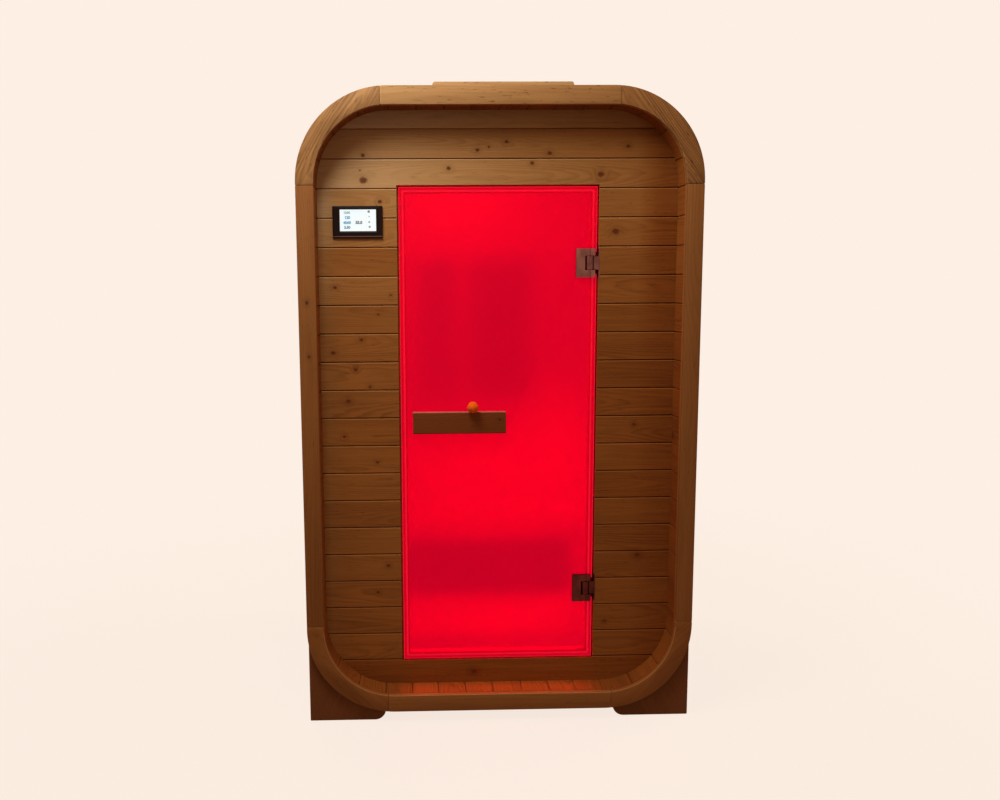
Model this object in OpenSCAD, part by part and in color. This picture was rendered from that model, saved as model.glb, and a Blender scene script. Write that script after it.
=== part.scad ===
// Infrared sauna cabin: a rounded jacket of timber staves between two face rings, with a
// set-back front wall and a frameless glass door on two clamp hinges.
// X runs to the right, Y runs into the cabin and Z runs up. The origin is on the ground
// under the centre of the cabin, and all sizes are millimetres.

/* [Cabin] */
// Width over the face ring
cabin_w = 1240; // [1030:10:1500]
// Height of the face ring, without the feet below it
ring_h = 1960; // [1630:10:2360]
// Depth from the face ring's front to the rear ring's back
cabin_d = 1100; // [910:10:1600]
// Radius of the face ring's outer corners
corner_r = 280; // [200:5:340]
// Height of the face ring above the ground
ground_gap = 35; // [20:1:60]

/* [Jacket and rings] */
// Thickness of the jacket's staves
stave_t = 45; // [30:1:60]
// Step from a ring's outer edge down to the staves
ring_lip = 10; // [4:1:16]
// Thickness of a ring, front to back
ring_t = 20; // [15:1:35]
// Length of the rails at the ring's top and bottom, between their joints
rail_len = 724; // [600:4:800]
// Distance of the stile joints from the ring's top and bottom edges
stile_joint = 290; // [285:5:360]

/* [Walls] */
// Depth of the porch in front of the front wall
porch_d = 100; // [70:5:160]
// Thickness of the front and the rear wall
wall_t = 45; // [40:1:60]
// Distance from the rear ring's back to the rear wall
rear_recess = 40; // [20:5:80]
// Width of the front wall on each side of the doorway
side_panel_w = 247; // [200:1:260]
// Height of the front wall under the doorway
under_door_h = 78; // [60:1:140]
// Height of the front wall over the doorway
over_door_h = 225; // [150:5:300]

/* [Door] */
// Thickness of the glass
glass_t = 8; // [6:1:10]
// Clearance between the glass and the doorway, all round
door_gap = 6; // [6:0.5:8]
// Distance from the wall's face back to the glass
glass_setback = 2; // [0:0.5:5]
// Width of the seal along the glass edges
seal_w = 18; // [10:1:22]
// Thickness of the seal
seal_t = 2; // [1:0.5:3]
// Free space between the seal and the door stops
stop_gap = 5; // [5:0.5:8]
// Length of the wooden handle plate
handle_len = 298; // [200:2:320]
// Height of the handle plate
handle_h = 70; // [50:1:90]
// Thickness of the handle plate
handle_t = 22; // [15:1:30]
// Distance from the glass edge to the handle plate
handle_inset = 38; // [20:1:80]
// Height of the handle plate's middle above the cabin floor
handle_level = 878; // [700:2:1000]
// Radius of the round pull knob
knob_r = 19; // [14:0.5:24]

/* [Hinges] */
// Height of a hinge clamp
clamp_h = 90; // [80:1:110]
// Width of a hinge clamp
clamp_w = 60; // [54:1:66]
// Thickness of a clamp plate on each side of the glass
clamp_t = 9; // [6:0.5:10]
// Height of the fixed hinge block
block_h = 42; // [30:1:50]
// Distance from the doorway's side to the hinge axis
axis_inset = 28; // [28:0.5:30]
// Radius of the hinge pin
pin_r = 4; // [3:0.5:5]
// Distance from the glass's top or bottom edge to a hinge's middle
hinge_inset = 237; // [120:1:300]

/* [Control panel] */
// Width of the control panel
panel_w = 156; // [130:1:165]
// Height of the control panel
panel_h = 99; // [90:1:120]
// Thickness of the control panel
panel_t = 8; // [5:1:15]
// Height of the panel's middle above the cabin floor
panel_level = 1512; // [1200:2:1560]
// Width of the screen
screen_w = 115; // [90:1:120]
// Height of the screen
screen_h = 72; // [60:1:80]

/* [Bench and heaters] */
// Height of the bench above the cabin floor
bench_h = 420; // [380:5:480]
// Depth of the bench
bench_d = 480; // [400:5:520]
// Thickness of the bench seat
seat_t = 30; // [20:1:45]
// Height of the heater panels on the rear wall
heater_h = 555; // [400:5:650]
// Height of the heater panels above the bench
heater_rise = 425; // [200:5:450]

/* [Feet and roof batten] */
// Length of a foot along the front
foot_w = 246; // [180:2:260]
// Height of a foot's tip above the ground
foot_h = 270; // [150:5:290]
// Thickness of a foot, front to back
foot_t = 45; // [30:1:80]
// Length of the batten that lies on the roof
batten_len = 433; // [200:1:460]
// Thickness of the roof batten
batten_t = 24; // [12:1:40]

/* [Hidden] */
$fn = 96;
ring_band = stave_t + ring_lip;
ring_top = ground_gap + ring_h;
front_y = -cabin_d / 2;
rear_y = cabin_d / 2;
jacket_len = cabin_d - 2 * ring_t;
floor_z = ground_gap + ring_band;
ceiling_z = ring_top - ring_band;
inner_w = cabin_w - 2 * ring_band;
arc_x = cabin_w / 2 - corner_r;
arc_low = ground_gap + corner_r;
arc_high = ring_top - corner_r;

wall_y = front_y + porch_d;
wall_back = wall_y + wall_t;
rear_wall_y = rear_y - rear_recess - wall_t;

// Doorway, and the glass inside it
open_w = inner_w - 2 * side_panel_w;
open_low = floor_z + under_door_h;
open_high = ceiling_z - over_door_h;
glass_w = open_w - 2 * door_gap;
glass_low = open_low + door_gap;
glass_high = open_high - door_gap;
glass_y = wall_y + glass_setback;
glass_mid = glass_y + glass_t / 2;
glass_back = glass_y + glass_t;

// Stops: the one beside the hinges stays behind the arc that the glass edge sweeps
stop_w = door_gap + seal_w;
stop_y = glass_back + seal_t + stop_gap;
edge_x = axis_inset - door_gap;
sweep_r = sqrt(pow(edge_x, 2) + pow(glass_t / 2 + seal_t, 2));
hinge_stop_y = glass_mid + sweep_r + stop_gap;

// Hinge
axis_x = open_w / 2 - axis_inset;
upper_hinge_z = glass_high - hinge_inset;
lower_hinge_z = glass_low + hinge_inset;
pin_clearance = 0.05;
block_gap = 1.5;
clamp_tail = 16;
notch_d = 16;
block_r = notch_d - 1.5;
neck_t = 14;
lug_h = 11;
leaf_t = 4;
leaf_w = 30;
glass_relief = 5;
clamp_corner = 3;
pin_slot = 3;
pin_slot_depth = 3;
overlap = 1;

handle_x = -glass_w / 2 + handle_inset;
handle_z = floor_z + handle_level;
handle_round = 4;
knob_offset = 191;
knob_x = handle_x + knob_offset;
knob_z = handle_z + handle_h / 2 + knob_r - 2;
knob_stem_r = 8;
knob_stem = 36;
knob_collar_r = 12;
knob_collar_t = 3;

panel_gap = 44;
panel_x = -open_w / 2 - panel_gap - panel_w;
panel_z = floor_z + panel_level - panel_h / 2;
panel_corner = 3;
screen_t = 1.5;
screen_margin = 22;
screen_rise = 18;

bench_nose = 20;
seat_round = 9;
bench_front_t = 20;
bench_y = rear_wall_y - bench_d;
seat_z = floor_z + bench_h - seat_t;
calf_w = 600;
calf_h = 202;
calf_rise = 165;
calf_t = 12;
heater_t = 15;
heater_rim = 12;
heater_corner = 6;
field_depth = 3;
heater_z = floor_z + bench_h + heater_rise;
narrow_heater = [-226, 136];
wide_heater = [-30, 234];
light_w = 400;
light_d = 60;
light_t = 12;

foot_inset = 2;
foot_round = 35;
batten_x = -205;
batten_w = 90;
batten_round = 9;
batten_slant = 10;

timber = [0.50, 0.31, 0.16];
timber_light = [0.62, 0.42, 0.25];
timber_dark = [0.32, 0.16, 0.07];
red_glass = [0.86, 0.02, 0.12];
steel = [0.48, 0.36, 0.33];
black = [0.08, 0.06, 0.05];

// ---- Shapes shared by several pieces ----

// Slab between y and y + t, cut from an upright outline drawn in X and Z
module slab(y, t) {
    translate([0, y + t, 0]) rotate([90, 0, 0]) linear_extrude(t) children();
}

// Block between two opposite corners
module block(low, high) {
    translate(low) cube(high - low);
}

// Upright rectangle with its lower left corner at x, z
module window(x, z, w, h) {
    translate([x, z]) square([w, h]);
}

// The same with rounded corners
module rounded_window(x, z, w, h, r) {
    window(x + r, z, w - 2 * r, h);
    window(x, z + r, w, h - 2 * r);
    for (x_arc = [x + r, x + w - r], z_arc = [z + r, z + h - r])
        translate([x_arc, z_arc]) circle(r);
}

// Level bar of a given length, cut from a section drawn in Y and Z
module bar(x, len) {
    translate([x, 0, 0]) rotate([90, 0, 90]) linear_extrude(len) children();
}

// Section of a board whose front edges are rounded
module nosed_section(y, z, d, h, r) {
    window(y + r, z, d - r, h);
    window(y, z + r, d, h - 2 * r);
    for (z_arc = [z + r, z + h - r]) translate([y + r, z_arc]) circle(r);
}

// The cabin's rounded outline, moved inwards by an inset
module outline(inset) {
    rounded_window(inset - cabin_w / 2, ground_gap + inset,
                   cabin_w - 2 * inset, ring_h - 2 * inset, corner_r - inset);
}

module ring_outline() {
    difference() {
        outline(0);
        outline(ring_band);
    }
}

// Straight piece of a ring; side is 1 for the top or the right and -1 for the others
module rail(y, side) {
    slab(y, ring_t) intersection() {
        ring_outline();
        window(-rail_len / 2, side > 0 ? arc_high : ground_gap, rail_len, corner_r);
    }
}

module stile(y, side) {
    slab(y, ring_t)
        window(side > 0 ? cabin_w / 2 - ring_band : -cabin_w / 2, ground_gap + stile_joint,
               ring_band, ring_h - 2 * stile_joint);
}

// Curved piece of a ring, from the rail's joint to the stile's joint
module ring_corner(y, side, up) {
    reach = cabin_w / 2 - rail_len / 2;
    slab(y, ring_t) intersection() {
        ring_outline();
        window(side > 0 ? rail_len / 2 : -cabin_w / 2,
               up > 0 ? ring_top - stile_joint : ground_gap, reach, stile_joint);
    }
}

// Quarter round of the jacket
module shell(side, up) {
    outer_r = corner_r - ring_lip;
    slab(front_y + ring_t, jacket_len)
        translate([side * arc_x, up > 0 ? arc_high : arc_low])
            intersection() {
                difference() {
                    circle(outer_r);
                    circle(corner_r - ring_band);
                }
                window(side > 0 ? 0 : -outer_r, up > 0 ? 0 : -outer_r, outer_r, outer_r);
            }
}

// Part of the front wall between two heights
module front_panel(x, z, w, h) {
    slab(wall_y, wall_t) intersection() {
        outline(ring_band);
        window(x, z, w, h);
    }
}

// Clamp that grips the glass and carries the hinge pin
module hinge_clamp(z) {
    gap = block_h + 2 * block_gap;
    translate([axis_x, glass_mid, z]) {
        for (y = [-glass_t / 2 - clamp_t, glass_t / 2]) difference() {
            slab(y, clamp_t) difference() {
                rounded_window(clamp_tail - clamp_w, -clamp_h / 2, clamp_w, clamp_h,
                               clamp_corner);
                window(-notch_d, -gap / 2, notch_d + clamp_tail + overlap, gap);
            }
            slab(-glass_t / 2 - clamp_t - overlap, pin_slot_depth + overlap)
                window(-pin_slot / 2, -clamp_h / 2 - overlap, pin_slot, clamp_h + 2 * overlap);
        }
        for (z_lug = [gap / 2, -gap / 2 - lug_h])
            block([-notch_d, -glass_t / 2 - overlap, z_lug],
                  [clamp_tail, glass_t / 2 + overlap, z_lug + lug_h]);
        cylinder(r = pin_r, h = gap + 2 * lug_h, center = true);
    }
}

// Room in the glass for one hinge's lugs and block
module glass_notch(z) {
    notch_h = block_h + 2 * block_gap + 2 * lug_h + 1;
    window(axis_x - notch_d - glass_relief, z - notch_h / 2,
           notch_d + glass_relief + edge_x + overlap, notch_h);
}

// Fixed half of a hinge: the block round the pin, and the leaf let into the doorway's side
module hinge_block(z) {
    translate([axis_x, glass_mid, z - block_h / 2]) linear_extrude(block_h) difference() {
        union() {
            intersection() {
                circle(block_r);
                square([2 * block_r, glass_t + 2 * clamp_t], center = true);
            }
            translate([0, -neck_t / 2]) square([axis_inset + overlap, neck_t]);
        }
        circle(pin_r + pin_clearance);
    }
    hinge_leaf(z);
}

module hinge_leaf(z) {
    block([open_w / 2, wall_y, z - clamp_h / 2],
          [open_w / 2 + leaf_t, wall_y + leaf_w, z + clamp_h / 2]);
}

// Corner foot, shaped to the jacket that rests on it
module foot(y, side) {
    outer_x = cabin_w / 2 - foot_inset;
    inner_x = outer_x - foot_w;
    slab(y, foot_t) mirror([side > 0 ? 0 : 1, 0]) difference() {
        union() {
            window(inner_x, foot_round, foot_w, foot_h - foot_round);
            window(inner_x + foot_round, 0, foot_w - foot_round, foot_h);
            translate([inner_x + foot_round, foot_round]) circle(foot_round);
        }
        outline(ring_lip);
    }
}

// Heater with a raised rim round its radiating field; y is the surface that it hangs on
module heater(x, y, z, w, h, t) {
    difference() {
        slab(y - t, t) rounded_window(x, z, w, h, heater_corner);
        slab(y - t, field_depth)
            window(x + heater_rim, z + heater_rim, w - 2 * heater_rim, h - 2 * heater_rim);
    }
}

// ---- Face ring ----

module front_top_rail() { color(timber_light) rail(front_y, 1); }
module front_bottom_rail() { color(timber_dark) rail(front_y, -1); }
module front_left_stile() { color(timber) stile(front_y, -1); }
module front_right_stile() { color(timber) stile(front_y, 1); }
module front_top_left_corner() { color(timber_light) ring_corner(front_y, -1, 1); }
module front_top_right_corner() { color(timber) ring_corner(front_y, 1, 1); }
module front_bottom_left_corner() { color(timber_dark) ring_corner(front_y, -1, -1); }
module front_bottom_right_corner() { color(timber_dark) ring_corner(front_y, 1, -1); }

// ---- Rear ring ----

module rear_rails() {
    color(timber) for (side = [-1, 1]) {
        rail(rear_y - ring_t, side);
        stile(rear_y - ring_t, side);
    }
}

module rear_corners() {
    color(timber_light) for (side = [-1, 1], up = [-1, 1])
        ring_corner(rear_y - ring_t, side, up);
}

// ---- Jacket ----

module left_wall() {
    color(timber) block([ring_lip - cabin_w / 2, front_y + ring_t, arc_low],
                        [ring_band - cabin_w / 2, rear_y - ring_t, arc_high]);
}

module right_wall() {
    color(timber) block([cabin_w / 2 - ring_band, front_y + ring_t, arc_low],
                        [cabin_w / 2 - ring_lip, rear_y - ring_t, arc_high]);
}

module roof() {
    color(timber_light) block([-arc_x, front_y + ring_t, ceiling_z],
                              [arc_x, rear_y - ring_t, ring_top - ring_lip]);
}

module floor_slab() {
    color(timber_dark) block([-arc_x, front_y + ring_t, ground_gap + ring_lip],
                             [arc_x, rear_y - ring_t, floor_z]);
}

module top_left_shell() { color(timber_light) shell(-1, 1); }
module top_right_shell() { color(timber_light) shell(1, 1); }
module bottom_left_shell() { color(timber_dark) shell(-1, -1); }
module bottom_right_shell() { color(timber_dark) shell(1, -1); }

// ---- Front and rear walls ----

module front_wall_left() {
    color(timber) front_panel(-inner_w / 2, floor_z, side_panel_w, ceiling_z - floor_z);
}

module front_wall_right() {
    color(timber) difference() {
        front_panel(open_w / 2, floor_z, side_panel_w, ceiling_z - floor_z);
        for (z = [lower_hinge_z, upper_hinge_z]) hinge_leaf(z);
    }
}

module front_wall_over_door() {
    color(timber) front_panel(-open_w / 2, open_high, open_w, over_door_h);
}

module front_wall_under_door() {
    color(timber_dark) front_panel(-open_w / 2, floor_z, open_w, under_door_h);
}

module rear_wall() {
    color(timber) slab(rear_wall_y, wall_t) outline(ring_band);
}

// ---- Door frame ----

// Level stop, stepped back where the glass edge beside the hinges swings inwards
module level_stop(z) {
    step_x = axis_x - sweep_r;
    block([-open_w / 2, stop_y, z], [step_x, wall_back, z + stop_w]);
    block([step_x - overlap, hinge_stop_y, z], [open_w / 2, wall_back, z + stop_w]);
}

module door_head() { color(timber_dark) level_stop(open_high - stop_w); }
module door_sill() { color(timber_dark) level_stop(open_low); }

module door_latch_jamb() {
    color(timber_dark) block([-open_w / 2, stop_y, open_low + stop_w],
                             [stop_w - open_w / 2, wall_back, open_high - stop_w]);
}

module door_hinge_jamb() {
    color(timber_dark) block([open_w / 2 - stop_w, hinge_stop_y, open_low + stop_w],
                             [open_w / 2, wall_back, open_high - stop_w]);
}

// ---- Door ----

module door_glass() {
    color(red_glass) slab(glass_y, glass_t) difference() {
        window(-glass_w / 2, glass_low, glass_w, glass_high - glass_low);
        for (z = [lower_hinge_z, upper_hinge_z]) glass_notch(z);
    }
}

module door_seal() {
    color(red_glass) slab(glass_back, seal_t) difference() {
        window(-glass_w / 2, glass_low, glass_w, glass_high - glass_low);
        window(seal_w - glass_w / 2, glass_low + seal_w,
               glass_w - 2 * seal_w, glass_high - glass_low - 2 * seal_w);
        for (z = [lower_hinge_z, upper_hinge_z])
            window(glass_w / 2 - 2 * seal_w, z - clamp_h / 2 - 1, 3 * seal_w, clamp_h + 2);
    }
}

module door_handle() {
    color(timber_dark) bar(handle_x, handle_len)
        nosed_section(glass_y - handle_t, handle_z - handle_h / 2, handle_t, handle_h, handle_round);
}

module door_knob() {
    color([0.80, 0.36, 0.10]) translate([knob_x, glass_y, knob_z]) rotate([90, 0, 0])
        rotate_extrude() intersection() {
            union() {
                square([knob_collar_r, knob_collar_t]);
                square([knob_stem_r, knob_stem]);
                translate([0, knob_stem]) circle(knob_r);
            }
            square([knob_r, knob_stem + knob_r]);
        }
}

module upper_hinge_clamp() { color(steel) hinge_clamp(upper_hinge_z); }
module lower_hinge_clamp() { color(steel) hinge_clamp(lower_hinge_z); }
module upper_hinge_block() { color(steel) hinge_block(upper_hinge_z); }
module lower_hinge_block() { color(steel) hinge_block(lower_hinge_z); }

// ---- Control panel ----

module screen_window(t) {
    slab(wall_y - panel_t, t)
        window(panel_x + screen_margin, panel_z + screen_rise, screen_w, screen_h);
}

module control_panel() {
    color(black) difference() {
        slab(wall_y - panel_t, panel_t)
            rounded_window(panel_x, panel_z, panel_w, panel_h, panel_corner);
        screen_window(screen_t);
    }
}

module control_screen() { color("white") screen_window(screen_t); }

// ---- Bench, heaters and light ----

module bench_seat() {
    color(timber) bar(-inner_w / 2, inner_w)
        nosed_section(bench_y, seat_z, bench_d, seat_t, seat_round);
}

module bench_front() {
    color(timber) slab(bench_y + bench_nose, bench_front_t) intersection() {
        outline(ring_band);
        window(-inner_w / 2, floor_z, inner_w, seat_z - floor_z);
    }
}

module back_heaters() {
    color(black) for (panel = [narrow_heater, wide_heater])
        heater(panel[0], rear_wall_y, heater_z, panel[1], heater_h, heater_t);
}

module calf_heater() {
    color(black)
        heater(-calf_w / 2, bench_y + bench_nose, floor_z + calf_rise, calf_w, calf_h, calf_t);
}

module ceiling_light() {
    color("red") block([-light_w / 2, -light_d / 2, ceiling_z - light_t],
                       [light_w / 2, light_d / 2, ceiling_z]);
}

// ---- Feet and roof batten ----

module front_feet() {
    color(timber_dark) for (side = [-1, 1]) foot(front_y + ring_t, side);
}

module rear_feet() {
    color(timber_dark) for (side = [-1, 1]) foot(rear_y - ring_t - foot_t, side);
}

// Board that lies on the roof, rounded at its left end and cut slanting at its right end
module roof_batten() {
    z = ring_top - ring_lip;
    right = batten_x + batten_len;
    color(timber_light) slab(front_y + ring_t, batten_w) {
        window(batten_x, z, batten_len - batten_slant, batten_t - batten_round);
        translate([batten_x + batten_round, z + batten_t - batten_round]) circle(batten_round);
        polygon([[batten_x + batten_round, z], [right, z], [right - batten_slant, z + batten_t],
                 [batten_x + batten_round, z + batten_t]]);
    }
}

front_top_rail();
front_bottom_rail();
front_left_stile();
front_right_stile();
front_top_left_corner();
front_top_right_corner();
front_bottom_left_corner();
front_bottom_right_corner();
rear_rails();
rear_corners();
left_wall();
right_wall();
roof();
floor_slab();  // floor
top_left_shell();
top_right_shell();
bottom_left_shell();
bottom_right_shell();
front_wall_left();
front_wall_right();
front_wall_over_door();
front_wall_under_door();
rear_wall();
door_head();
door_sill();
door_latch_jamb();
door_hinge_jamb();
door_glass();
door_seal();
door_handle();
door_knob();
upper_hinge_clamp();
lower_hinge_clamp();
upper_hinge_block();
lower_hinge_block();
control_panel();
control_screen();
bench_seat();
bench_front();
back_heaters();
calf_heater();
ceiling_light();
front_feet();
rear_feet();
roof_batten();
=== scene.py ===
# %% [markdown]
# # An infrared sauna cabin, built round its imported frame
# The cabin stands on the ground at the middle of the scene, with its door towards -Y. Sizes and
# places come from the frame, so the boards, staves, fittings and glass fit with no adjusting.

# %% The frame, and its box
import math
import random

import bpy
from mathutils import Matrix, Vector


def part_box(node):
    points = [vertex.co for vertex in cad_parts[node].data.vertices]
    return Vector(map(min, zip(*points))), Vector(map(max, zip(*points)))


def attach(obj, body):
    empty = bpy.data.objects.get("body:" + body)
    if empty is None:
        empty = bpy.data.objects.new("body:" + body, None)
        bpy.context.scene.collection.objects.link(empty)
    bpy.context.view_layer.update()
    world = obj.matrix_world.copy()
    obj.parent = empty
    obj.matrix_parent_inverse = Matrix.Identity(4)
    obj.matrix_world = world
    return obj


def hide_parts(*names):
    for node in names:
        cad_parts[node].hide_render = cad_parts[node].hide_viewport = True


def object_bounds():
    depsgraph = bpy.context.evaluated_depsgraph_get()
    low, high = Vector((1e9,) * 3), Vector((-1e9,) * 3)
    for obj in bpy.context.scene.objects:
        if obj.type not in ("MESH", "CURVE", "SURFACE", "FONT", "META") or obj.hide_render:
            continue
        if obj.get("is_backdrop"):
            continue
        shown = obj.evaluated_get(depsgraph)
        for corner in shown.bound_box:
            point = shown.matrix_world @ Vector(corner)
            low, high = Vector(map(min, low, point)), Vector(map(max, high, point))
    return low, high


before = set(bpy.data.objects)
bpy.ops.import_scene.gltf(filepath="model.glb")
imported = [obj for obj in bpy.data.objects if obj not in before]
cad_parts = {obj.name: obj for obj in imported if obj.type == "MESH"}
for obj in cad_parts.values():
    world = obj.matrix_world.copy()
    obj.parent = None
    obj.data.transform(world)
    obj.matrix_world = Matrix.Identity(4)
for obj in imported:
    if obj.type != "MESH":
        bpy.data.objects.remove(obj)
cad_box = [list(corner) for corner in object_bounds()]
scene = bpy.context.scene
scene.view_settings.view_transform = "Standard"
MM = 0.001
print("cabin", [round(b - a, 3) for a, b in zip(*cad_box)])

# %% [markdown]
# ## Camera
# A standing person's view: 1.4 metres up, three metres in front of the ring and a little to the
# left, tilted down. The lens is a mild wide angle, and the shift holds the cabin in the frame.

# %% Camera
CAMERA_PLACE = (-0.260, -3.502, 1.408)
CAMERA_YAW, CAMERA_PITCH, CAMERA_ROLL = 1.49, 7.82, -0.39
LENS_MM = 34.5
LENS_SHIFT = (0.058, 0.016)


def aim(yaw, pitch, roll):
    """The turn of a camera that looks along +Y, turned right by yaw, down by pitch and rolled."""
    upright = Matrix.Rotation(math.radians(90 - pitch), 4, "X")
    turned = Matrix.Rotation(math.radians(-yaw), 4, "Z")
    rolled = Matrix.Rotation(math.radians(roll), 4, "Z")
    return turned @ upright @ rolled


bpy.ops.object.camera_add()
camera = bpy.context.object
camera.name = "camera"
camera.matrix_world = Matrix.Translation(CAMERA_PLACE) @ aim(CAMERA_YAW, CAMERA_PITCH, CAMERA_ROLL)
camera.data.lens = LENS_MM
camera.data.shift_x, camera.data.shift_y = LENS_SHIFT
camera.data.clip_end = 100
scene.camera = camera
print("camera at", [round(part, 2) for part in camera.location], "with a lens of", LENS_MM, "mm")

# %% [markdown]
# ## Node helpers
# A material is a small net of nodes. These helpers add one node each and give back its output,
# so that a material below reads like a sum. Colours are written as a paint shop writes them, in
# hex, and turned into the linear values that Blender's shaders use. Constants go on a node's own
# sockets, and only what changes over the surface is linked.

# %% Node helpers
def paint(code):
    """A linear colour from a hex code such as A56A3E."""
    parts = [int(code[at:at + 2], 16) / 255 for at in (0, 2, 4)]
    linear = [part / 12.92 if part <= 0.04045 else ((part + 0.055) / 1.055) ** 2.4 for part in parts]
    return (*linear, 1.0)


def fill(tree, node, inputs):
    """Link or set a node's inputs, by name or number. Text is a colour's hex code."""
    for place, value in inputs.items():
        if isinstance(value, bpy.types.NodeSocket):
            tree.links.new(value, node.inputs[place])
        else:
            node.inputs[place].default_value = paint(value) if isinstance(value, str) else value


def put(tree, kind, inputs, out=0, **settings):
    """Add a node with its settings and inputs, and return one of its outputs."""
    new = tree.nodes.new("ShaderNode" + kind)
    new.location.x = 190 * (len(tree.nodes) % 12)
    new.location.y = -220 * (len(tree.nodes) // 12)
    for name, value in settings.items():
        setattr(new, name, value)
    fill(tree, new, inputs)
    return new.outputs[out]


# %% Sums, places and noise
def calc(tree, operation, *values):
    """Arithmetic on single values."""
    return put(tree, "Math", dict(enumerate(values)), operation=operation)


def vector(tree, operation, *values, out=0):
    """Arithmetic on vectors."""
    return put(tree, "VectorMath", dict(enumerate(values)), out, operation=operation)


def split(tree, value):
    """The X, Y and Z of a vector."""
    return put(tree, "SeparateXYZ", {0: value}).node.outputs


def object_place(tree):
    """Where a point lies on the piece, which is where it lies in the cabin."""
    return put(tree, "TexCoord", {}, "Object")


def attribute(tree, name, out):
    """What the mesh keeps under a name."""
    return put(tree, "Attribute", {}, out, attribute_name=name)


def noise(tree, place, stretch, detail=2.0, out=0):
    """Noise whose grains are 1/stretch metres along each axis."""
    scaled = vector(tree, "MULTIPLY", place, stretch)
    return put(tree, "TexNoise", {"Vector": scaled, "Scale": 1.0, "Detail": detail}, out)


def spread(tree, value, low, high, to_low=0.0, to_high=1.0):
    """Map low..high smoothly to to_low..to_high, and hold the ends."""
    inputs = {"Value": value, 1: low, 2: high, 3: to_low, 4: to_high}
    return put(tree, "MapRange", inputs, interpolation_type="SMOOTHSTEP")


def mix(tree, factor, first, second):
    """A colour between the first and the second."""
    return put(tree, "Mix", {0: factor, 6: first, 7: second}, 2, data_type="RGBA")


def swing(tree, value, strength):
    """Noise turned into a plus or minus of this strength."""
    return calc(tree, "MULTIPLY", calc(tree, "SUBTRACT", value, 0.5), strength)


# %% Groups and materials
def new_group(name, takes, gives):
    """A shader node group with named sockets, as (tree, its input sockets, its output node)."""
    kinds = {"value": "NodeSocketFloat", "vector": "NodeSocketVector", "color": "NodeSocketColor"}
    tree = bpy.data.node_groups.new(name, "ShaderNodeTree")
    for direction, sockets in (("INPUT", takes), ("OUTPUT", gives)):
        for socket, kind in sockets.items():
            tree.interface.new_socket(socket, in_out=direction, socket_type=kinds[kind])
    entry = tree.nodes.new("NodeGroupInput")
    leave = tree.nodes.new("NodeGroupOutput")
    leave.location.x = 2600
    return tree, entry.outputs, leave.inputs


def place_group(tree, group, inputs):
    """Place a group in a material, with its values, and return its outputs."""
    return put(tree, "Group", inputs, node_tree=group).node.outputs


def feed(shader, **sockets):
    """Link or set the shader's own sockets, with _ for each space in their names."""
    fill(shader.id_data, shader, {name.replace("_", " "): value for name, value in sockets.items()})


def new_material(name, **values):
    """A material with its Principled shader; constants are set on the shader's own sockets."""
    material = bpy.data.materials.new(name)
    material.use_nodes = True
    shader = material.node_tree.nodes["Principled BSDF"]
    feed(shader, **values)
    return material, material.node_tree, shader


def emboss(tree, shader, strength, distance, height):
    """Raise a material's surface by a pattern, no higher than distance."""
    bump = put(tree, "Bump", {"Strength": strength, "Distance": distance, "Height": height})
    feed(shader, Normal=bump)


print("helpers ready")

# %% [markdown]
# ## Backdrop and light
# A plain pale floor runs out to a plain pale background. Camera, glossy and transmission rays see
# that background at strength 1, and everything else is lit by a quiet warm surround, so the
# background never pours light on the wood. The floor keeps a soft shadow near the cabin, and
# fades into the background further out.

# %% World and floor
PALE = paint("FDEFE4")
SURROUND = (1.0, 0.66, 0.49, 1.0)
SURROUND_STRENGTH = 0.40
FLOOR_GREY = (0.26, 0.20, 0.16, 1.0)
FLOOR_SHADOW_SHARE = 0.09
SHADOW_REACH = (1.2, 3.4)


def seen_directly(tree):
    """1 for camera, glossy and transmission rays, and 0 for the rest."""
    rays = put(tree, "LightPath", {}).node.outputs
    gloss = calc(tree, "MAXIMUM", rays["Is Glossy Ray"], rays["Is Transmission Ray"])
    return calc(tree, "MAXIMUM", rays["Is Camera Ray"], gloss)


world = bpy.data.worlds.new("pale room")
scene.world = world
world.use_nodes = True
tree = world.node_tree
quiet = tree.nodes["Background"]
fill(tree, quiet, {"Color": SURROUND, "Strength": SURROUND_STRENGTH})
plain = put(tree, "Background", {"Color": PALE, "Strength": 1.0})
room = put(tree, "MixShader", {0: seen_directly(tree), 1: quiet.outputs[0], 2: plain})
tree.links.new(room, tree.nodes["World Output"].inputs["Surface"])

bpy.ops.mesh.primitive_plane_add(size=60, location=(0, 0, 0))
floor_plane = bpy.context.object
floor_plane.name = "studio_floor"
material, tree, shader = new_material("pale floor")
tree.nodes.remove(shader)
reach = vector(tree, "LENGTH", object_place(tree), out=1)
share = spread(tree, reach, *SHADOW_REACH, FLOOR_SHADOW_SHARE, 0.0)
glow = put(tree, "Emission", {"Color": PALE, "Strength": 1.0})
pale = put(tree, "BsdfDiffuse", {"Color": PALE})
grey = put(tree, "BsdfDiffuse", {"Color": FLOOR_GREY})
near = put(tree, "MixShader", {0: share, 1: glow, 2: pale})
mixed = put(tree, "MixShader", {0: seen_directly(tree), 1: grey, 2: near})
tree.links.new(mixed, tree.nodes["Material Output"].inputs["Surface"])
floor_plane.data.materials.append(material)
floor_plane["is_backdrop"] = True
print("background", [round(part, 3) for part in PALE[:3]])

# %% [markdown]
# The key light is a soft square panel, high and close above the front, a little to the left, so
# the light falls off towards the ground and to the right. Two weak panels keep the sides and the
# back readable. Each is sized by its power in watts: a white wall facing a panel at distance d
# renders white at about 10 times d squared.

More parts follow.
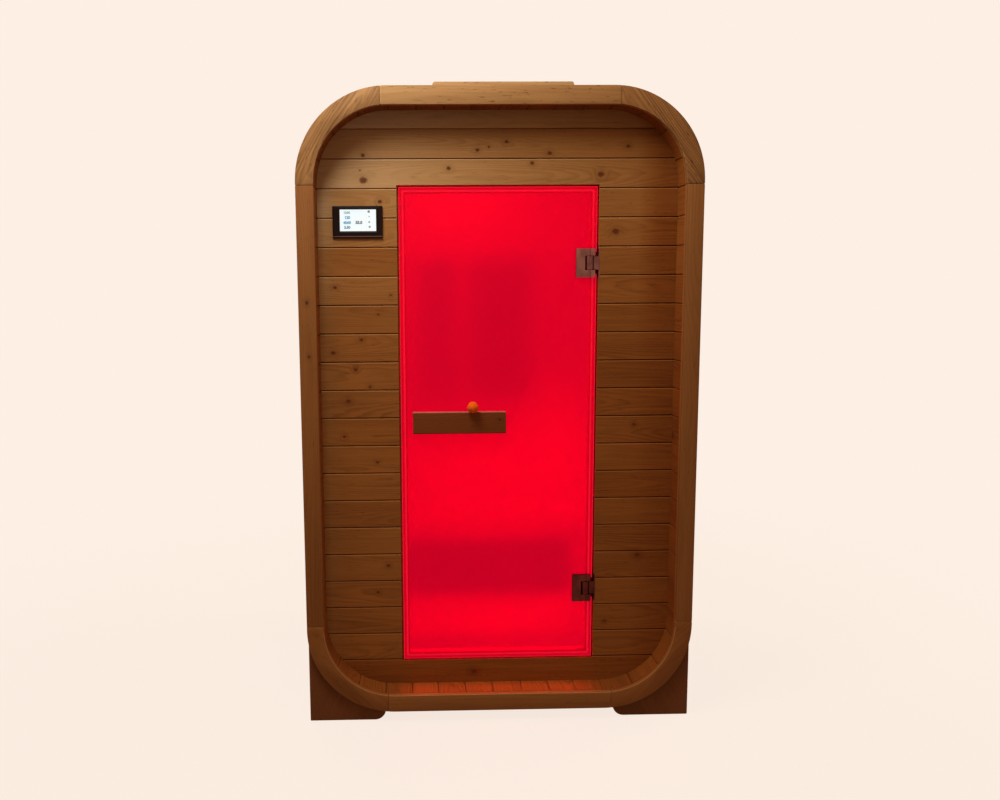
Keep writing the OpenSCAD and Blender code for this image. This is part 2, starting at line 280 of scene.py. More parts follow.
# %% Lamps
def lamp(name, place, target, size, power, colour):
    """A soft square light at a place, turned to a target."""
    bpy.ops.object.light_add(type="AREA", location=place)
    light = bpy.context.object
    light.name = name
    light.rotation_euler = (Vector(target) - Vector(place)).to_track_quat("-Z", "Y").to_euler()
    light.data.shape = "SQUARE"
    light.data.size = size
    light.data.energy = power
    light.data.color = colour
    return light


lamp("key", (-0.75, -1.35, 3.0), (-0.1, -0.5, 1.3), 0.9, 36, (0.97, 1.0, 0.98))
lamp("back_fill", (-2.4, 3.4, 2.6), (0, 0.5, 1.1), 2.2, 80, (1.0, 0.95, 0.88))
lamp("right_fill", (3.4, 1.0, 2.4), (0.6, 0, 1.1), 2.0, 62, (1.0, 0.94, 0.86))

# %% [markdown]
# ## Wood
# Every board here was sawn from a log, and its pattern is where the saw met the growth rings. So
# each piece carries an attribute called log_place, the point of the log that each of its corners
# came from: x along the log, y and z across it from the pith. Rings are then simply the distance
# from the pith, pushed about by slow noise, which gives long arches on a flat board, straight
# lines on an edge and arcs on an end. Fibres are noise stretched along the log. Two more
# attributes say where the nearest knots are, and a last one, tone, is a gamma of the colour:
# above 1 the wood is darker and redder, as a hotter oven makes it. Tone also carries painted light
# and shade: boards paler higher up, faces and ends darker where shade falls, and pale painted
# highlights on edges. Because the attributes travel with the mesh, a bent stave keeps its grain
# along itself.

# %% The sawn wood group
takes = {"Log Place": "vector", "Knot A": "vector", "Knot B": "vector", "Tone": "value",
         "Light": "color", "Dark": "color", "Knot Color": "color", "Ring Width": "value",
         "Ring Contrast": "value", "Streaks": "value", "Blotches": "value", "Pores": "value"}
gives = {"Color": "color", "Roughness": "value", "Height": "value"}
sawn_wood, wood, out = new_group("sawn wood", takes, gives)
tree = sawn_wood


def knot_shape(tree, place, knot):
    """How much a knot covers, rims and bends the grain at a place of the log."""
    knot_x, knot_z, knot_radius = split(tree, knot)
    here = split(tree, place)
    along = calc(tree, "MULTIPLY", calc(tree, "SUBTRACT", here["X"], knot_x), 0.8)
    across = calc(tree, "SUBTRACT", here["Z"], knot_z)
    reach = vector(tree, "LENGTH", put(tree, "CombineXYZ", {0: along, 1: across}), out=1)
    reach = calc(tree, "DIVIDE", reach, knot_radius)
    rough = noise(tree, place, (190, 190, 190), 2)
    edge = calc(tree, "ADD", reach, swing(tree, rough, 0.7))
    core = spread(tree, edge, 0.45, 1.15, 1.0, 0.0)
    halo = spread(tree, reach, 0.6, 3.6, 1.0, 0.0)
    return core, halo


log_place = wood["Log Place"]
pith = vector(tree, "SUBTRACT", noise(tree, log_place, (1.1, 0.4, 0.4), 1, out=1), (0.5, 0.5, 0.5))
pith = vector(tree, "MULTIPLY", pith, (0.0, 0.10, 0.10))
across = vector(tree, "MULTIPLY", vector(tree, "ADD", log_place, pith), (0.0, 1.0, 1.0))
radius = vector(tree, "LENGTH", across, out=1)
ripple = swing(tree, noise(tree, log_place, (5, 42, 42), 2), 6 * MM)
radius = calc(tree, "ADD", radius, ripple)
core_a, halo_a = knot_shape(tree, log_place, wood["Knot A"])
core_b, halo_b = knot_shape(tree, log_place, wood["Knot B"])
core = calc(tree, "MAXIMUM", core_a, core_b)
halo = calc(tree, "MAXIMUM", halo_a, halo_b)
age = calc(tree, "DIVIDE", radius, wood["Ring Width"])
age = calc(tree, "ADD", age, calc(tree, "MULTIPLY", calc(tree, "POWER", halo, 2.0), 1.3))
season = calc(tree, "FRACT", age)
late = calc(tree, "MULTIPLY", spread(tree, season, 0.25, 0.88), spread(tree, season, 0.9, 1.0, 1, 0))
patchy = spread(tree, noise(tree, log_place, (1.4, 14, 14), 2), 0.3, 0.7, 0.35, 1.2)
late = calc(tree, "MULTIPLY", late, patchy)
fibre = noise(tree, log_place, (12, 620, 620), 2)
streak = noise(tree, log_place, (2.4, 105, 105), 3)
blotch = noise(tree, log_place, (2.2, 8, 8), 2)
pore = spread(tree, noise(tree, log_place, (38, 330, 330), 1), 0.66, 0.78)
shade = calc(tree, "MULTIPLY", late, wood["Ring Contrast"])
for part, strength in ((streak, wood["Streaks"]), (fibre, 0.34), (blotch, wood["Blotches"])):
    shade = calc(tree, "ADD", shade, swing(tree, part, strength))
for part, strength in ((pore, wood["Pores"]), (halo, 0.22)):
    shade = calc(tree, "ADD", shade, calc(tree, "MULTIPLY", part, strength))
shade = put(tree, "Clamp", {0: calc(tree, "ADD", shade, 0.14)})
colour = mix(tree, shade, wood["Light"], wood["Dark"])
colour = put(tree, "Gamma", {"Color": colour, "Gamma": wood["Tone"]})
colour = mix(tree, calc(tree, "MULTIPLY", core, 0.88), colour, wood["Knot Color"])
tree.links.new(colour, out["Color"])
height = calc(tree, "SUBTRACT", calc(tree, "MULTIPLY", fibre, 0.5), calc(tree, "MULTIPLY", late, 0.45))
height = calc(tree, "SUBTRACT", height, calc(tree, "MULTIPLY", pore, 0.5))
tree.links.new(calc(tree, "ADD", height, calc(tree, "MULTIPLY", core, 0.5)), out["Height"])
tree.links.new(spread(tree, fibre, 0.2, 0.8, 0.58, 0.74), out["Roughness"])
print("sawn wood group:", len(tree.nodes), "nodes")


# %% Timber finishes
def wood_material(name, light, dark, knot, ring=5.0, contrast=0.5, streaks=0.7, blotches=0.6,
                  pores=0.5, bump=0.25, specular=0.12):
    """A timber finish: the sawn wood group with its own colours and values."""
    material, tree, shader = new_material(name, Specular_IOR_Level=specular)
    made = place_group(tree, sawn_wood, {
        "Log Place": attribute(tree, "log_place", "Vector"), "Tone": attribute(tree, "tone", "Fac"),
        "Knot A": attribute(tree, "knot_a", "Vector"), "Knot B": attribute(tree, "knot_b", "Vector"),
        "Light": light, "Dark": dark, "Knot Color": knot,
        "Ring Width": ring * MM, "Ring Contrast": contrast, "Streaks": streaks,
        "Blotches": blotches, "Pores": pores})
    feed(shader, Base_Color=made["Color"], Roughness=made["Roughness"])
    emboss(tree, shader, bump, 1.2 * MM, made["Height"])
    return material


board_wood = wood_material("board timber", "AA723B", "6A3C16", "5A2206", ring=4, contrast=0.24,
                           streaks=0.48, blotches=0.5, pores=0.35)
ring_wood = wood_material("ring timber", "A06C3B", "6C421D", "4A2208", ring=5, contrast=0.14,
                          streaks=0.42, blotches=0.7, pores=0.4)
rail_wood = wood_material("top rail timber", "B28452", "74502C", "3E2010", ring=6, contrast=0.2,
                          streaks=0.9, blotches=1.3, pores=1.5)
corner_wood = wood_material("corner timber", "AE7F4E", "58371B", "341A0D", ring=5, contrast=0.34,
                            streaks=0.9, blotches=0.5, pores=0.5, bump=0.35)
foot_wood = wood_material("foot timber", "7C4A26", "543118", "24110A", ring=8, contrast=0.1,
                          streaks=0.3)
bench_wood = wood_material("bench timber", "C79A68", "93663C", "4A2A18", ring=4, contrast=0.4)
handle_wood = wood_material("handle timber", "7C3D14", "54280E", "1E0E07", ring=4, contrast=0.2,
                            streaks=0.4, blotches=0.3)
# The handle's top face is paler, pinker and glossier: a painted reflection of the red glass glow.
handle_top_sheen = wood_material("handle top sheen", "B86452", "8E4C3E", "1E0E07", ring=4, contrast=0.3,
                            specular=0.5)
finishes = (board_wood, ring_wood, rail_wood, corner_wood, foot_wood, bench_wood, handle_wood,
            handle_top_sheen)
print("timber finishes", [finish.name for finish in finishes])

# %% [markdown]
# ## Working in edit mode
# Shapes are made as by hand: a primitive at its size and place, then edit mode. These helpers
# select one piece, or faces and edges of it by where they are, and leave the piece ready for the
# next operator. A CAD node whose outline is already right is copied, its loose triangles are
# merged and dissolved into whole faces, and its sharp edges are eased, as a joiner does with
# sandpaper: an edge with no radius never catches the light.

# %% Edit helpers
def only(piece):
    """Select one piece and nothing else."""
    if bpy.context.mode != "OBJECT":
        bpy.ops.object.mode_set(mode="OBJECT")
    bpy.ops.object.select_all(action="DESELECT")
    piece.select_set(True)
    bpy.context.view_layer.objects.active = piece


def plain_box(name, low, high):
    """A box between two corners, with its place in its mesh."""
    bpy.ops.object.select_all(action="DESELECT")
    low, high = Vector(low), Vector(high)
    bpy.ops.mesh.primitive_cube_add(size=1, location=(low + high) / 2, scale=high - low)
    bpy.ops.object.transform_apply(location=True, rotation=True, scale=True)
    piece = bpy.context.object
    piece.name = name
    return piece


def mesh_copy(name, mesh):
    """A new piece with its own copy of a mesh."""
    piece = bpy.data.objects.new(name, mesh.copy())
    scene.collection.objects.link(piece)
    return piece


def open_whole(piece):
    """Open the piece in edit mode with all of it selected."""
    only(piece)
    bpy.ops.object.mode_set(mode="EDIT")
    bpy.ops.mesh.select_all(action="SELECT")


def drop_selection(piece, kind):
    """Leave a piece with nothing of its mesh selected, ready to select faces or edges in code."""
    only(piece)
    bpy.ops.object.mode_set(mode="EDIT")
    bpy.ops.mesh.select_mode(type=kind)
    bpy.ops.mesh.select_all(action="DESELECT")
    bpy.ops.object.mode_set(mode="OBJECT")


def pick_faces(piece, test):
    """Open the piece in edit mode with just the faces that pass test(centre, normal)."""
    drop_selection(piece, "FACE")
    for face in piece.data.polygons:
        face.select = test(face.center, face.normal)
    bpy.ops.object.mode_set(mode="EDIT")


def pick_edges(piece, test):
    """Open the piece in edit mode with just the edges that pass test(end, end)."""
    drop_selection(piece, "EDGE")
    points = piece.data.vertices
    for edge in piece.data.edges:
        edge.select = test(points[edge.vertices[0]].co, points[edge.vertices[1]].co)
    bpy.ops.object.mode_set(mode="EDIT")


def push(x=0.0, y=0.0, z=0.0):
    """Extrude what is selected by a step."""
    bpy.ops.mesh.extrude_region_move(TRANSFORM_OT_translate={"value": (x, y, z)})


def done():
    """Close edit mode."""
    bpy.ops.object.mode_set(mode="OBJECT")


# %% Piece helpers
def apply(piece, kind, **settings):
    """Add a modifier with its settings, and apply it."""
    only(piece)
    modifier = piece.modifiers.new(kind.lower(), kind)
    for name, value in settings.items():
        setattr(modifier, name, value)
    bpy.ops.object.modifier_apply(modifier=modifier.name)


def smooth(piece, angle=32):
    """Shade a piece smooth, with a crease where its faces turn by more than this angle."""
    only(piece)
    bpy.ops.object.shade_smooth_by_angle(angle=math.radians(angle))


def join(name, parts):
    """Join parts into one piece, each keeping its own attributes."""
    only(parts[0])
    for part in parts:
        part.select_set(True)
    if len(parts) > 1:
        bpy.ops.object.join()
    parts[0].name = name
    return parts[0]


def merged_copy(node, name):
    """A copy of a CAD node's mesh, merged and with whole flat faces."""
    piece = mesh_copy(name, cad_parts[node].data)
    piece.data.materials.clear()
    open_whole(piece)
    bpy.ops.mesh.remove_doubles(threshold=0.01 * MM)
    bpy.ops.mesh.dissolve_limited(angle_limit=math.radians(0.5))
    done()
    return piece


def eased_copy(node, name, ease):
    """A merged copy whose sharp edges are rounded over by ease metres."""
    piece = merged_copy(node, name)
    apply(piece, "BEVEL", width=ease, segments=2, limit_method="ANGLE",
          angle_limit=math.radians(35), use_clamp_overlap=True)
    smooth(piece)
    return piece


def seat(piece, nodes, body, slot, *materials):
    """Give a finished piece its materials and its place in the frame."""
    for material in materials:
        piece.data.materials.append(material)
    if nodes:
        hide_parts(*nodes)
    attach(piece, body)
    print(piece.name, len(piece.data.polygons), "faces")


def second_finish(piece, test):
    """Give the faces that pass test(centre, normal) the second of the piece's materials."""
    for face in piece.data.polygons:
        face.material_index = int(test(face.center, face.normal))


def middle_of(node):
    """The middle of a CAD node's box."""
    low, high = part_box(node)
    return (low + high) / 2


# %% [markdown]
# ## Sawing
# A piece's axes are a matrix that takes (across, through, along) the board to the cabin. From it
# each point's place in the log is worked out and kept on the mesh. Each board gets its own log,
# from a seeded generator, so that no two boards match and every run gives the same cabin.

# %% Sawing
saw = random.Random(17)
NO_KNOT = (-9.0, 9.0, 0.001)


def new_log():
    """Where in a log a board is sawn: along it, through it and across it from the pith."""
    through = saw.choice((-1, 1)) * saw.uniform(0.03, 0.10)
    return Vector((saw.uniform(0, 40), through, saw.uniform(-0.05, 0.05)))


def board_axes(centre, across, inward):
    """Axes for a board: x across it, y through it and inward, z along it."""
    across, inward = Vector(across).normalized(), Vector(inward).normalized()
    turned = Matrix((across, inward, across.cross(inward))).transposed().to_4x4()
    return Matrix.Translation(centre) @ turned


def front_axes(centre, degrees):
    """Axes for a flat front piece whose grain rises to the right by this angle."""
    angle = math.radians(degrees)
    return board_axes(centre, (math.sin(angle), 0, -math.cos(angle)), (0, 1, 0))


def mark_grain(piece, axes, log=None, tone=1.0, knots=(), where=None):
    """Keep on the mesh where each point lay in its log, its nearest knots and its tone."""
    mesh = piece.data
    log = log or new_log()
    back = axes.inverted()
    for name, kind, domain in (("log_place", "FLOAT_VECTOR", "POINT"), ("tone", "FLOAT", "FACE"),
                               ("knot_a", "FLOAT_VECTOR", "FACE"), ("knot_b", "FLOAT_VECTOR", "FACE")):
        if name not in mesh.attributes:
            mesh.attributes.new(name, kind, domain)
    places = mesh.attributes["log_place"].data
    for vertex in mesh.vertices:
        if where is None or where(vertex.co):
            here = back @ vertex.co
            places[vertex.index].vector = log + Vector((here.z, here.y, here.x))
    spots = []
    for x, y, z, radius in knots:
        spot = back @ Vector((x, y, z))
        spots.append((log.x + spot.z, log.z + spot.x, radius))
    for face in mesh.polygons:
        if where is None or where(face.center):
            along = log.x + (back @ face.center).z
            near = sorted(spots, key=lambda spot: abs(spot[0] - along)) + [NO_KNOT, NO_KNOT]
            mesh.attributes["tone"].data[face.index].value = tone
            mesh.attributes["knot_a"].data[face.index].vector = near[0]
            mesh.attributes["knot_b"].data[face.index].vector = near[1]


def chance_knots(width, length, most):
    """Up to a few small knots at seeded places of a standing board."""
    found = []
    for _ in range(saw.randint(0, most)):
        place = (saw.uniform(-0.34, 0.34) * width, 0, saw.uniform(-0.46, 0.46) * length)
        found.append((*place, saw.choice((3, 4, 5, 6, 8, 10)) * MM))
    return found


# %% [markdown]
# ## Tongued boards
# Walls and jacket are tongue-and-groove boards. A board starts as a box standing on end, a hair
# narrower than its pitch, so that a fine gap shows. Its long edges are bevelled, which gives the
# V of the seam, and then one edge face is inset and extruded into a tongue and the other inset
# and pushed in as its groove, so no light passes the gap. A board at the end of a run may have
# plain edges. Each size is modelled once and its mesh copied for every other board like it.

# %% Board maker
BOARD_PITCH = 90 * MM
SEAM_GAP = 1.0 * MM
SEAM_BEVEL = 2.6 * MM
TONGUE = 5 * MM
blanks = {}


def standing_board(name, width, length, thick, low_edge=True, high_edge=True, strips=1, bands=1):
    """A board standing on end: x across, y through, z along. A plain edge has no seam."""
    key = (round(width, 5), length, thick, low_edge, high_edge, strips, bands)
    if key in blanks:
        return mesh_copy(name, blanks[key])
    low_x = -width / 2 + SEAM_GAP / 2 * low_edge
    high_x = width / 2 - SEAM_GAP / 2 * high_edge
    board = plain_box(name, (low_x, -thick / 2, -length / 2), (high_x, thick / 2, length / 2))

    def on_seam(a, b):
        """Whether an edge runs along the board on a side that has a seam."""
        level = abs(a.x - b.x) < 1e-6 and abs(a.y - b.y) < 1e-6
        return level and ((a.x < 0 and low_edge) or (a.x > 0 and high_edge))

    pick_edges(board, on_seam)
    if low_edge or high_edge:
        bpy.ops.mesh.bevel(offset=SEAM_BEVEL, segments=1, affect="EDGES")
    for edge, side, depth in ((high_edge, 1, SEAM_GAP + TONGUE), (low_edge, -1, -TONGUE - SEAM_GAP)):
        if edge:
            pick_faces(board, lambda centre, normal: normal.x * side > 0.9)
            bpy.ops.mesh.inset(thickness=min(0.22 * thick, 11 * MM), depth=0)
            push(x=side * depth)
    for count, axis, span in ((strips, 0, width), (bands, 2, length)):
        for step in range(1, count):
            spot = [0.0, 0.0, 0.0]
            spot[axis] = span * (step / count - 0.5)
            normal = [0.0, 0.0, 0.0]
            normal[axis] = 1.0
            open_whole(board)
            bpy.ops.mesh.bisect(plane_co=spot, plane_no=normal)
    done()
    blanks[key] = board.data.copy()
    return board


def lay(board, axes):
    """Move a standing board to its place in the cabin."""
    only(board)
    board.matrix_world = axes
    bpy.ops.object.transform_apply(location=True, rotation=True, scale=True)


def within(value, start, width):
    """How far a value has come from start over this width, from 0 to 1."""
    return min(1.0, max(0.0, (value - start) / width))


def board_tone(height):
    """Painted light: a board is paler from 0.9 metres up, and each is a little different."""
    return 1.28 - 0.46 * within(height, 0.9, 0.8) ** 2 + saw.uniform(-0.03, 0.03)


trial = standing_board("trial_board", BOARD_PITCH, 0.3, 45 * MM)
print("a board has", len(trial.data.polygons), "faces, width", round(trial.dimensions.x, 4))
bpy.data.objects.remove(trial)

# %% [markdown]
# ## The jacket
# The jacket is one loop of staves running front to back: two walls, a roof, a floor and four
# rounded corners. One function walks the loop at the middle of the thickness. On a straight run
# a stave is a board as it is. On a corner the board is cut into strips and bent by a Simple
# Deform modifier, by its width divided by the radius, which makes an exact arc. The seams of the
# side walls are level with those of the front wall. Where a run starts without a seam, the stave
# keeps the log of the one before, so the grain carries on across the CAD joint. The faces that
# look inward carry painted shade: they are darker than the outer ones, more on the right wall,
# and most of all high up under the roof.

# %% Jacket sizes
shell_low, shell_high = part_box("top_left_shell")
wall_low, wall_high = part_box("left_wall")
JACKET_THICK = wall_high.x - wall_low.x
JACKET_LENGTH = wall_high.y - wall_low.y
MID_RADIUS = shell_high.x - shell_low.x - JACKET_THICK / 2
FIRST_SEAM = 1.7033
side_seams = [FIRST_SEAM - BOARD_PITCH * step for step in range(16)]
floor_seams = [0.34, 0.25, 0.165, 0.075, -0.02, -0.11, -0.20, -0.285]
print("jacket", round(JACKET_THICK, 4), "thick, corner radius", round(MID_RADIUS, 4))

# %% Stave courses
STRIP_ANGLE = math.radians(3.6)
INNER_SHADE = 0.2
RIGHT_WALL_SHADE = 0.32
UNDER_ROOF_SHADE = 1.4
jacket_log = new_log()
jacket_run = 0.0


def turn_clockwise(direction, angle):
    """Turn a direction of the XZ plane clockwise, as seen from the front."""
    x, z = direction.x, direction.z
    return Vector((x * math.cos(angle) + z * math.sin(angle), 0,
                   z * math.cos(angle) - x * math.sin(angle)))


def stave_axes(start, heading, along, bent):
    """Axes of the stave whose middle is this far along a run."""
    inward = turn_clockwise(heading, math.pi / 2)
    if not bent:
        return board_axes(start + heading * along, heading, inward)
    angle = along / MID_RADIUS
    centre = start + (inward + turn_clockwise(-inward, angle)) * MID_RADIUS
    return board_axes(centre, turn_clockwise(heading, angle), turn_clockwise(inward, angle))


def course(node, start, heading, length, seams, bent=False):
    """Lay one node's staves from start along heading, with seams at these distances."""
    global jacket_log, jacket_run
    start, heading = Vector((start[0], 0, start[1])), Vector((heading[0], 0, heading[1]))
    stops = sorted({round(stop, 6) for stop in [0.0, length, *seams]})
    staves = []
    for index, (near, far) in enumerate(zip(stops, stops[1:])):
        low_edge, high_edge = [any(abs(stop - seam) < 1e-4 for seam in seams) for stop in (near, far)]
        if low_edge:
            jacket_log, jacket_run = new_log(), 0.0
        width = far - near
        strips = max(2, round(width / MID_RADIUS / STRIP_ANGLE)) if bent else 1
        stave = standing_board(f"{node}_stave_{index}", width, JACKET_LENGTH, JACKET_THICK,
                               low_edge, high_edge, strips)
        log = jacket_log + Vector((0, 0, jacket_run + width / 2))
        jacket_run += width
        axes = stave_axes(start, heading, (near + far) / 2, bent)
        knots = chance_knots(width, JACKET_LENGTH, 2)
        height = axes.translation.z
        tone = board_tone(height)
        mark_grain(stave, Matrix(), log, tone, knots)
        # Painted shade: the inward faces are darker, more so on the right wall and high up under the roof.
        tone += RIGHT_WALL_SHADE if node == "right_wall" else INNER_SHADE
        tone += UNDER_ROOF_SHADE * max(0.0, height - 1.5)
        mark_grain(stave, Matrix(), log, tone, knots, where=lambda spot: spot.y > 0.45 * JACKET_THICK)
        if bent:
            apply(stave, "SIMPLE_DEFORM", deform_method="BEND", deform_axis="Z",
                  angle=stave.dimensions.x / MID_RADIUS)
        lay(stave, axes)
        staves.append(stave)
    piece = join(f"{node}_staves", staves)
    smooth(piece, 20)
    seat(piece, [node], "cabin", "timber", board_wood)


def along_arc(*degrees):
    """How far along the middle of a corner these angles lie."""
    return [math.radians(angle) * MID_RADIUS for angle in degrees]


# %% Laying the jacket, clockwise from the roof
side = wall_high.z - wall_low.z
top = shell_high.z - JACKET_THICK / 2
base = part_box("floor")[0].z + JACKET_THICK / 2
turn_x = -shell_high.x
side_x = -wall_low.x - JACKET_THICK / 2
quarter = math.pi / 2 * MID_RADIUS
down = [wall_high.z - seam for seam in side_seams]
up = [seam - wall_low.z for seam in side_seams]
course("roof", (-turn_x, top), (1, 0), 2 * turn_x, [turn_x / 4 * step for step in range(9)])
course("top_right_shell", (turn_x, top), (1, 0), quarter, along_arc(0, 24, 48, 72), True)
course("right_wall", (side_x, wall_high.z), (0, -1), side, down)
course("bottom_right_shell", (side_x, wall_low.z), (0, -1), quarter, along_arc(13, 39, 65, 90), True)
course("floor", (turn_x, base), (-1, 0), 2 * turn_x, [turn_x - seam for seam in floor_seams])
course("bottom_left_shell", (-turn_x, base), (-1, 0), quarter, along_arc(8, 31, 54, 77), True)
course("left_wall", (-side_x, wall_low.z), (0, 1), side, up)
course("top_left_shell", (-side_x, wall_high.z), (0, 1), quarter, along_arc(18, 42, 66, 90), True)

# %% [markdown]
# ## Front and rear walls
# The two end walls are level boards of the same pitch, set inside the jacket. A row that passes
# the doorway is two boards, and the rows above and below it are one board each, the whole width
# of the cabin. Ends that meet the rounded corners are cut with a Boolean: a box keeps what lies
# inside it, and its four edges that run front to back are bevelled to the corner radius. Knots
# of the front wall are listed one by one, and those of the rear wall fall by chance.
# The front rows carry painted light and shade: they are paler towards the top, each by its own
# amount, paler at their left ends and darker at their right ends. The upper bevel of each board
# has a painted highlight, and its lower one painted shade.

# %% Wall helpers
def cut(piece, cutter, operation):
    """Apply a Boolean with a cutter, and keep the cutter for the next board."""
    apply(piece, "BOOLEAN", operation=operation, object=cutter, solver="EXACT")


room_low = Vector((wall_high.x, 0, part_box("floor")[1].z))
room_high = Vector((-wall_high.x, 0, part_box("roof")[0].z))
outline = plain_box("outline_cutter", (room_low.x, -1, room_low.z), (room_high.x, 1, room_high.z))
pick_edges(outline, lambda a, b: abs(a.y - b.y) > 1)
bpy.ops.mesh.bevel(offset=MID_RADIUS - JACKET_THICK / 2, segments=36, affect="EDGES")
done()
rows = [room_low.z] + [FIRST_SEAM + BOARD_PITCH * step for step in range(-17, 3)] + [room_high.z]
print("wall rows", len(rows) - 1)


def wall_board(name, row, low_x, high_x, low_y, high_y, knots, bands):
    """One level board of a wall, in bands, cut to the rounded corners where it meets them."""
    bottom, top = rows[row], rows[row + 1]
    board = standing_board(name, top - bottom, high_x - low_x, high_y - low_y,
                           row > 0, row < len(rows) - 2, bands=bands)
    centre = ((low_x + high_x) / 2, (low_y + high_y) / 2, (bottom + top) / 2)
    axes = board_axes(centre, (0, 0, 1), (0, 1, 0))
    lay(board, axes)
    if top > wall_high.z or bottom < wall_low.z:
        cut(board, outline, "INTERSECT")
    here = [(x, low_y, z, radius * MM) for x, z, radius in knots if bottom < z < top]
    return board, axes, here


# %% Front wall tones
# Painted light and shade: single rows and the left board of one row are shifted darker or paler, and the
# lower bevel of each seam is darkened.
row_shift = {0: 0.18, 18: 0.06, 19: 0.12, 20: -0.14}
LEFT_SHADE_ROW, LEFT_ROW_SHADE = 15, 0.21
SEAM_SHADE = 1.7


def front_tone(row, right):
    """A front board's tone, by its row and whether it is right of the door, with painted light and shade:
    darker right of the door, and shifted on some rows.
    """
    tone = board_tone(rows[row]) + (0.05 + 0.08 * rows[row] if right else -0.03)
    return tone + row_shift.get(row, 0.0) + (LEFT_ROW_SHADE if row == LEFT_SHADE_ROW and not right else 0.0)


def paint_seam_light(board, tone, height):
    """Paint the upper bevel of a board pale as a highlight, and the lower one dark as painted shade."""
    for face in board.data.polygons:
        if face.normal.y < -0.3 and abs(face.normal.z) > 0.5:
            seam_light = 0.97 - 0.13 * height if face.normal.z > 0 else SEAM_SHADE
            board.data.attributes["tone"].data[face.index].value = tone * seam_light


def end_shade(x, z):
    """Painted light and shade: paler at the left end of a row, darker at the right, and over the door
    darker towards the right.
    """
    left, right = within(-x, 0.465, 0.08) ** 2, within(x, 0.442, 0.068)
    high = within(z, 1.25, 0.25)
    if z > FIRST_SEAM:
        return 0.5 * x + 0.3 * right
    return (0.1 + 0.25 * high) * right - (0.2 + 0.12 * high) * left


def corner_tones(piece, tone_at):
    """Move a piece's tone from its faces to their corners: tone_at(face tone, face, corner)."""
    mesh = piece.data
    plain = [entry.value for entry in mesh.attributes["tone"].data]
    mesh.attributes.remove(mesh.attributes["tone"])
    tones = mesh.attributes.new("tone", "FLOAT", "CORNER").data
    for face in mesh.polygons:
        for loop in face.loop_indices:
            corner = mesh.vertices[mesh.loops[loop].vertex_index].co
            tones[loop].value = tone_at(plain[face.index], face, corner)


print("rows with a shifted tone", sorted(row_shift))

# %% Front wall boards
front_knots = [(-0.42, 1.805, 6), (-0.065, 1.82, 6), (-0.03, 1.83, 3.5), (0.025, 1.845, 6),
               (0.16, 1.81, 7), (0.405, 1.83, 6.5), (-0.155, 1.765, 7), (-0.42, 1.73, 12),
               (-0.43, 1.76, 3), (0.105, 1.78, 6.5), (0.32, 1.745, 10), (-0.37, 1.665, 6),
               (0.37, 1.57, 11), (-0.515, 1.40, 6), (-0.34, 1.375, 3.5), (-0.38, 1.315, 3),
               (-0.435, 1.235, 6), (-0.525, 1.195, 6.5), (-0.455, 1.14, 6.5), (-0.41, 1.085, 4.5),
               (-0.48, 1.04, 7), (-0.495, 0.925, 5), (-0.39, 0.84, 5), (-0.36, 0.495, 6),
               (-0.395, 0.405, 4.5), (0.44, 0.955, 6), (0.46, 0.52, 8), (0.355, 0.295, 5),
               (-0.08, 0.127, 8.5)]
left_low, left_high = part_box("front_wall_left")
face_y, back_y = left_low.y, left_high.y
door_low = Vector((left_high.x, face_y - 0.1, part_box("front_wall_under_door")[1].z))
door_high = Vector((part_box("front_wall_right")[0].x, back_y + 0.1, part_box("front_wall_over_door")[0].z))
doorway = plain_box("doorway_cutter", door_low, door_high)
leaves = {node: merged_copy(node, node + "_cutter") for node in ("upper_hinge_block", "lower_hinge_block")}
boards = []
for row in range(len(rows) - 1):
    bottom, top = rows[row], rows[row + 1]
    beside_door = bottom < door_high.z - 0.02 and top > door_low.z + 0.02
    spans = [(room_low.x, room_high.x)]
    if beside_door:
        spans = [(room_low.x, door_low.x), (door_high.x, room_high.x)]
    for low_x, high_x in spans:
        knots = [knot for knot in front_knots if low_x < knot[0] < high_x]
        board, axes, here = wall_board("front_board", row, low_x, high_x, face_y, back_y, knots,
                                       bands=12 if beside_door else 26)
        if not beside_door and (bottom < door_high.z < top or row == 0):
            cut(board, doorway, "DIFFERENCE")
        right = low_x > 0
        for node, leaf in leaves.items():
            leaf_low, leaf_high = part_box(node)
            if right and leaf_low.z < top and leaf_high.z > bottom:
                cut(board, leaf, "DIFFERENCE")
        tone = front_tone(row, right)
        mark_grain(board, axes, tone=tone, knots=here)
        paint_seam_light(board, tone, bottom)
        boards.append(board)
front_wall = join("front_wall_boards", boards)
corner_tones(front_wall, lambda tone, face, corner: tone + end_shade(corner.x, corner.z))
seat(front_wall, ["front_wall_left", "front_wall_right", "front_wall_over_door",
                  "front_wall_under_door"], "cabin", "timber", board_wood)

# %% Rear wall boards
rear_low, rear_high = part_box("rear_wall")
boards = []
for row in range(len(rows) - 1):
    by_chance = [(saw.uniform(-0.5, 0.5), saw.uniform(rows[row], rows[row + 1]), saw.choice((4, 6, 9)))
                 for _ in range(saw.randint(0, 3))]
    board, axes, here = wall_board("rear_board", row, room_low.x, room_high.x, rear_low.y,
                                   rear_high.y, by_chance, bands=4)
    mark_grain(board, axes, tone=board_tone(rows[row]), knots=here)
    boards.append(board)
rear_wall = join("rear_wall_boards", boards)
seat(rear_wall, ["rear_wall"], "cabin", "timber", board_wood)
for cutter in (outline, doorway, *leaves.values()):
    bpy.data.objects.remove(cutter)

# %% [markdown]
# ## Face rings
# A flat ring of eight pieces covers each end of the jacket: two rails, two stiles, and four
# quarter rings sawn from wide planks, so their grain runs slantwise across the curve. The CAD
# outlines are exact, so eased copies of them are used, and the eased edges draw the fine joints.
# A piece's tone is kept on its face corners, where Blender blends it, so the top rail can darken
# evenly from left to right, painted shade for the light that falls off to the right. The inner
# edge has its own share of the tone: a painted highlight on most pieces, painted shade on the
# right stile.

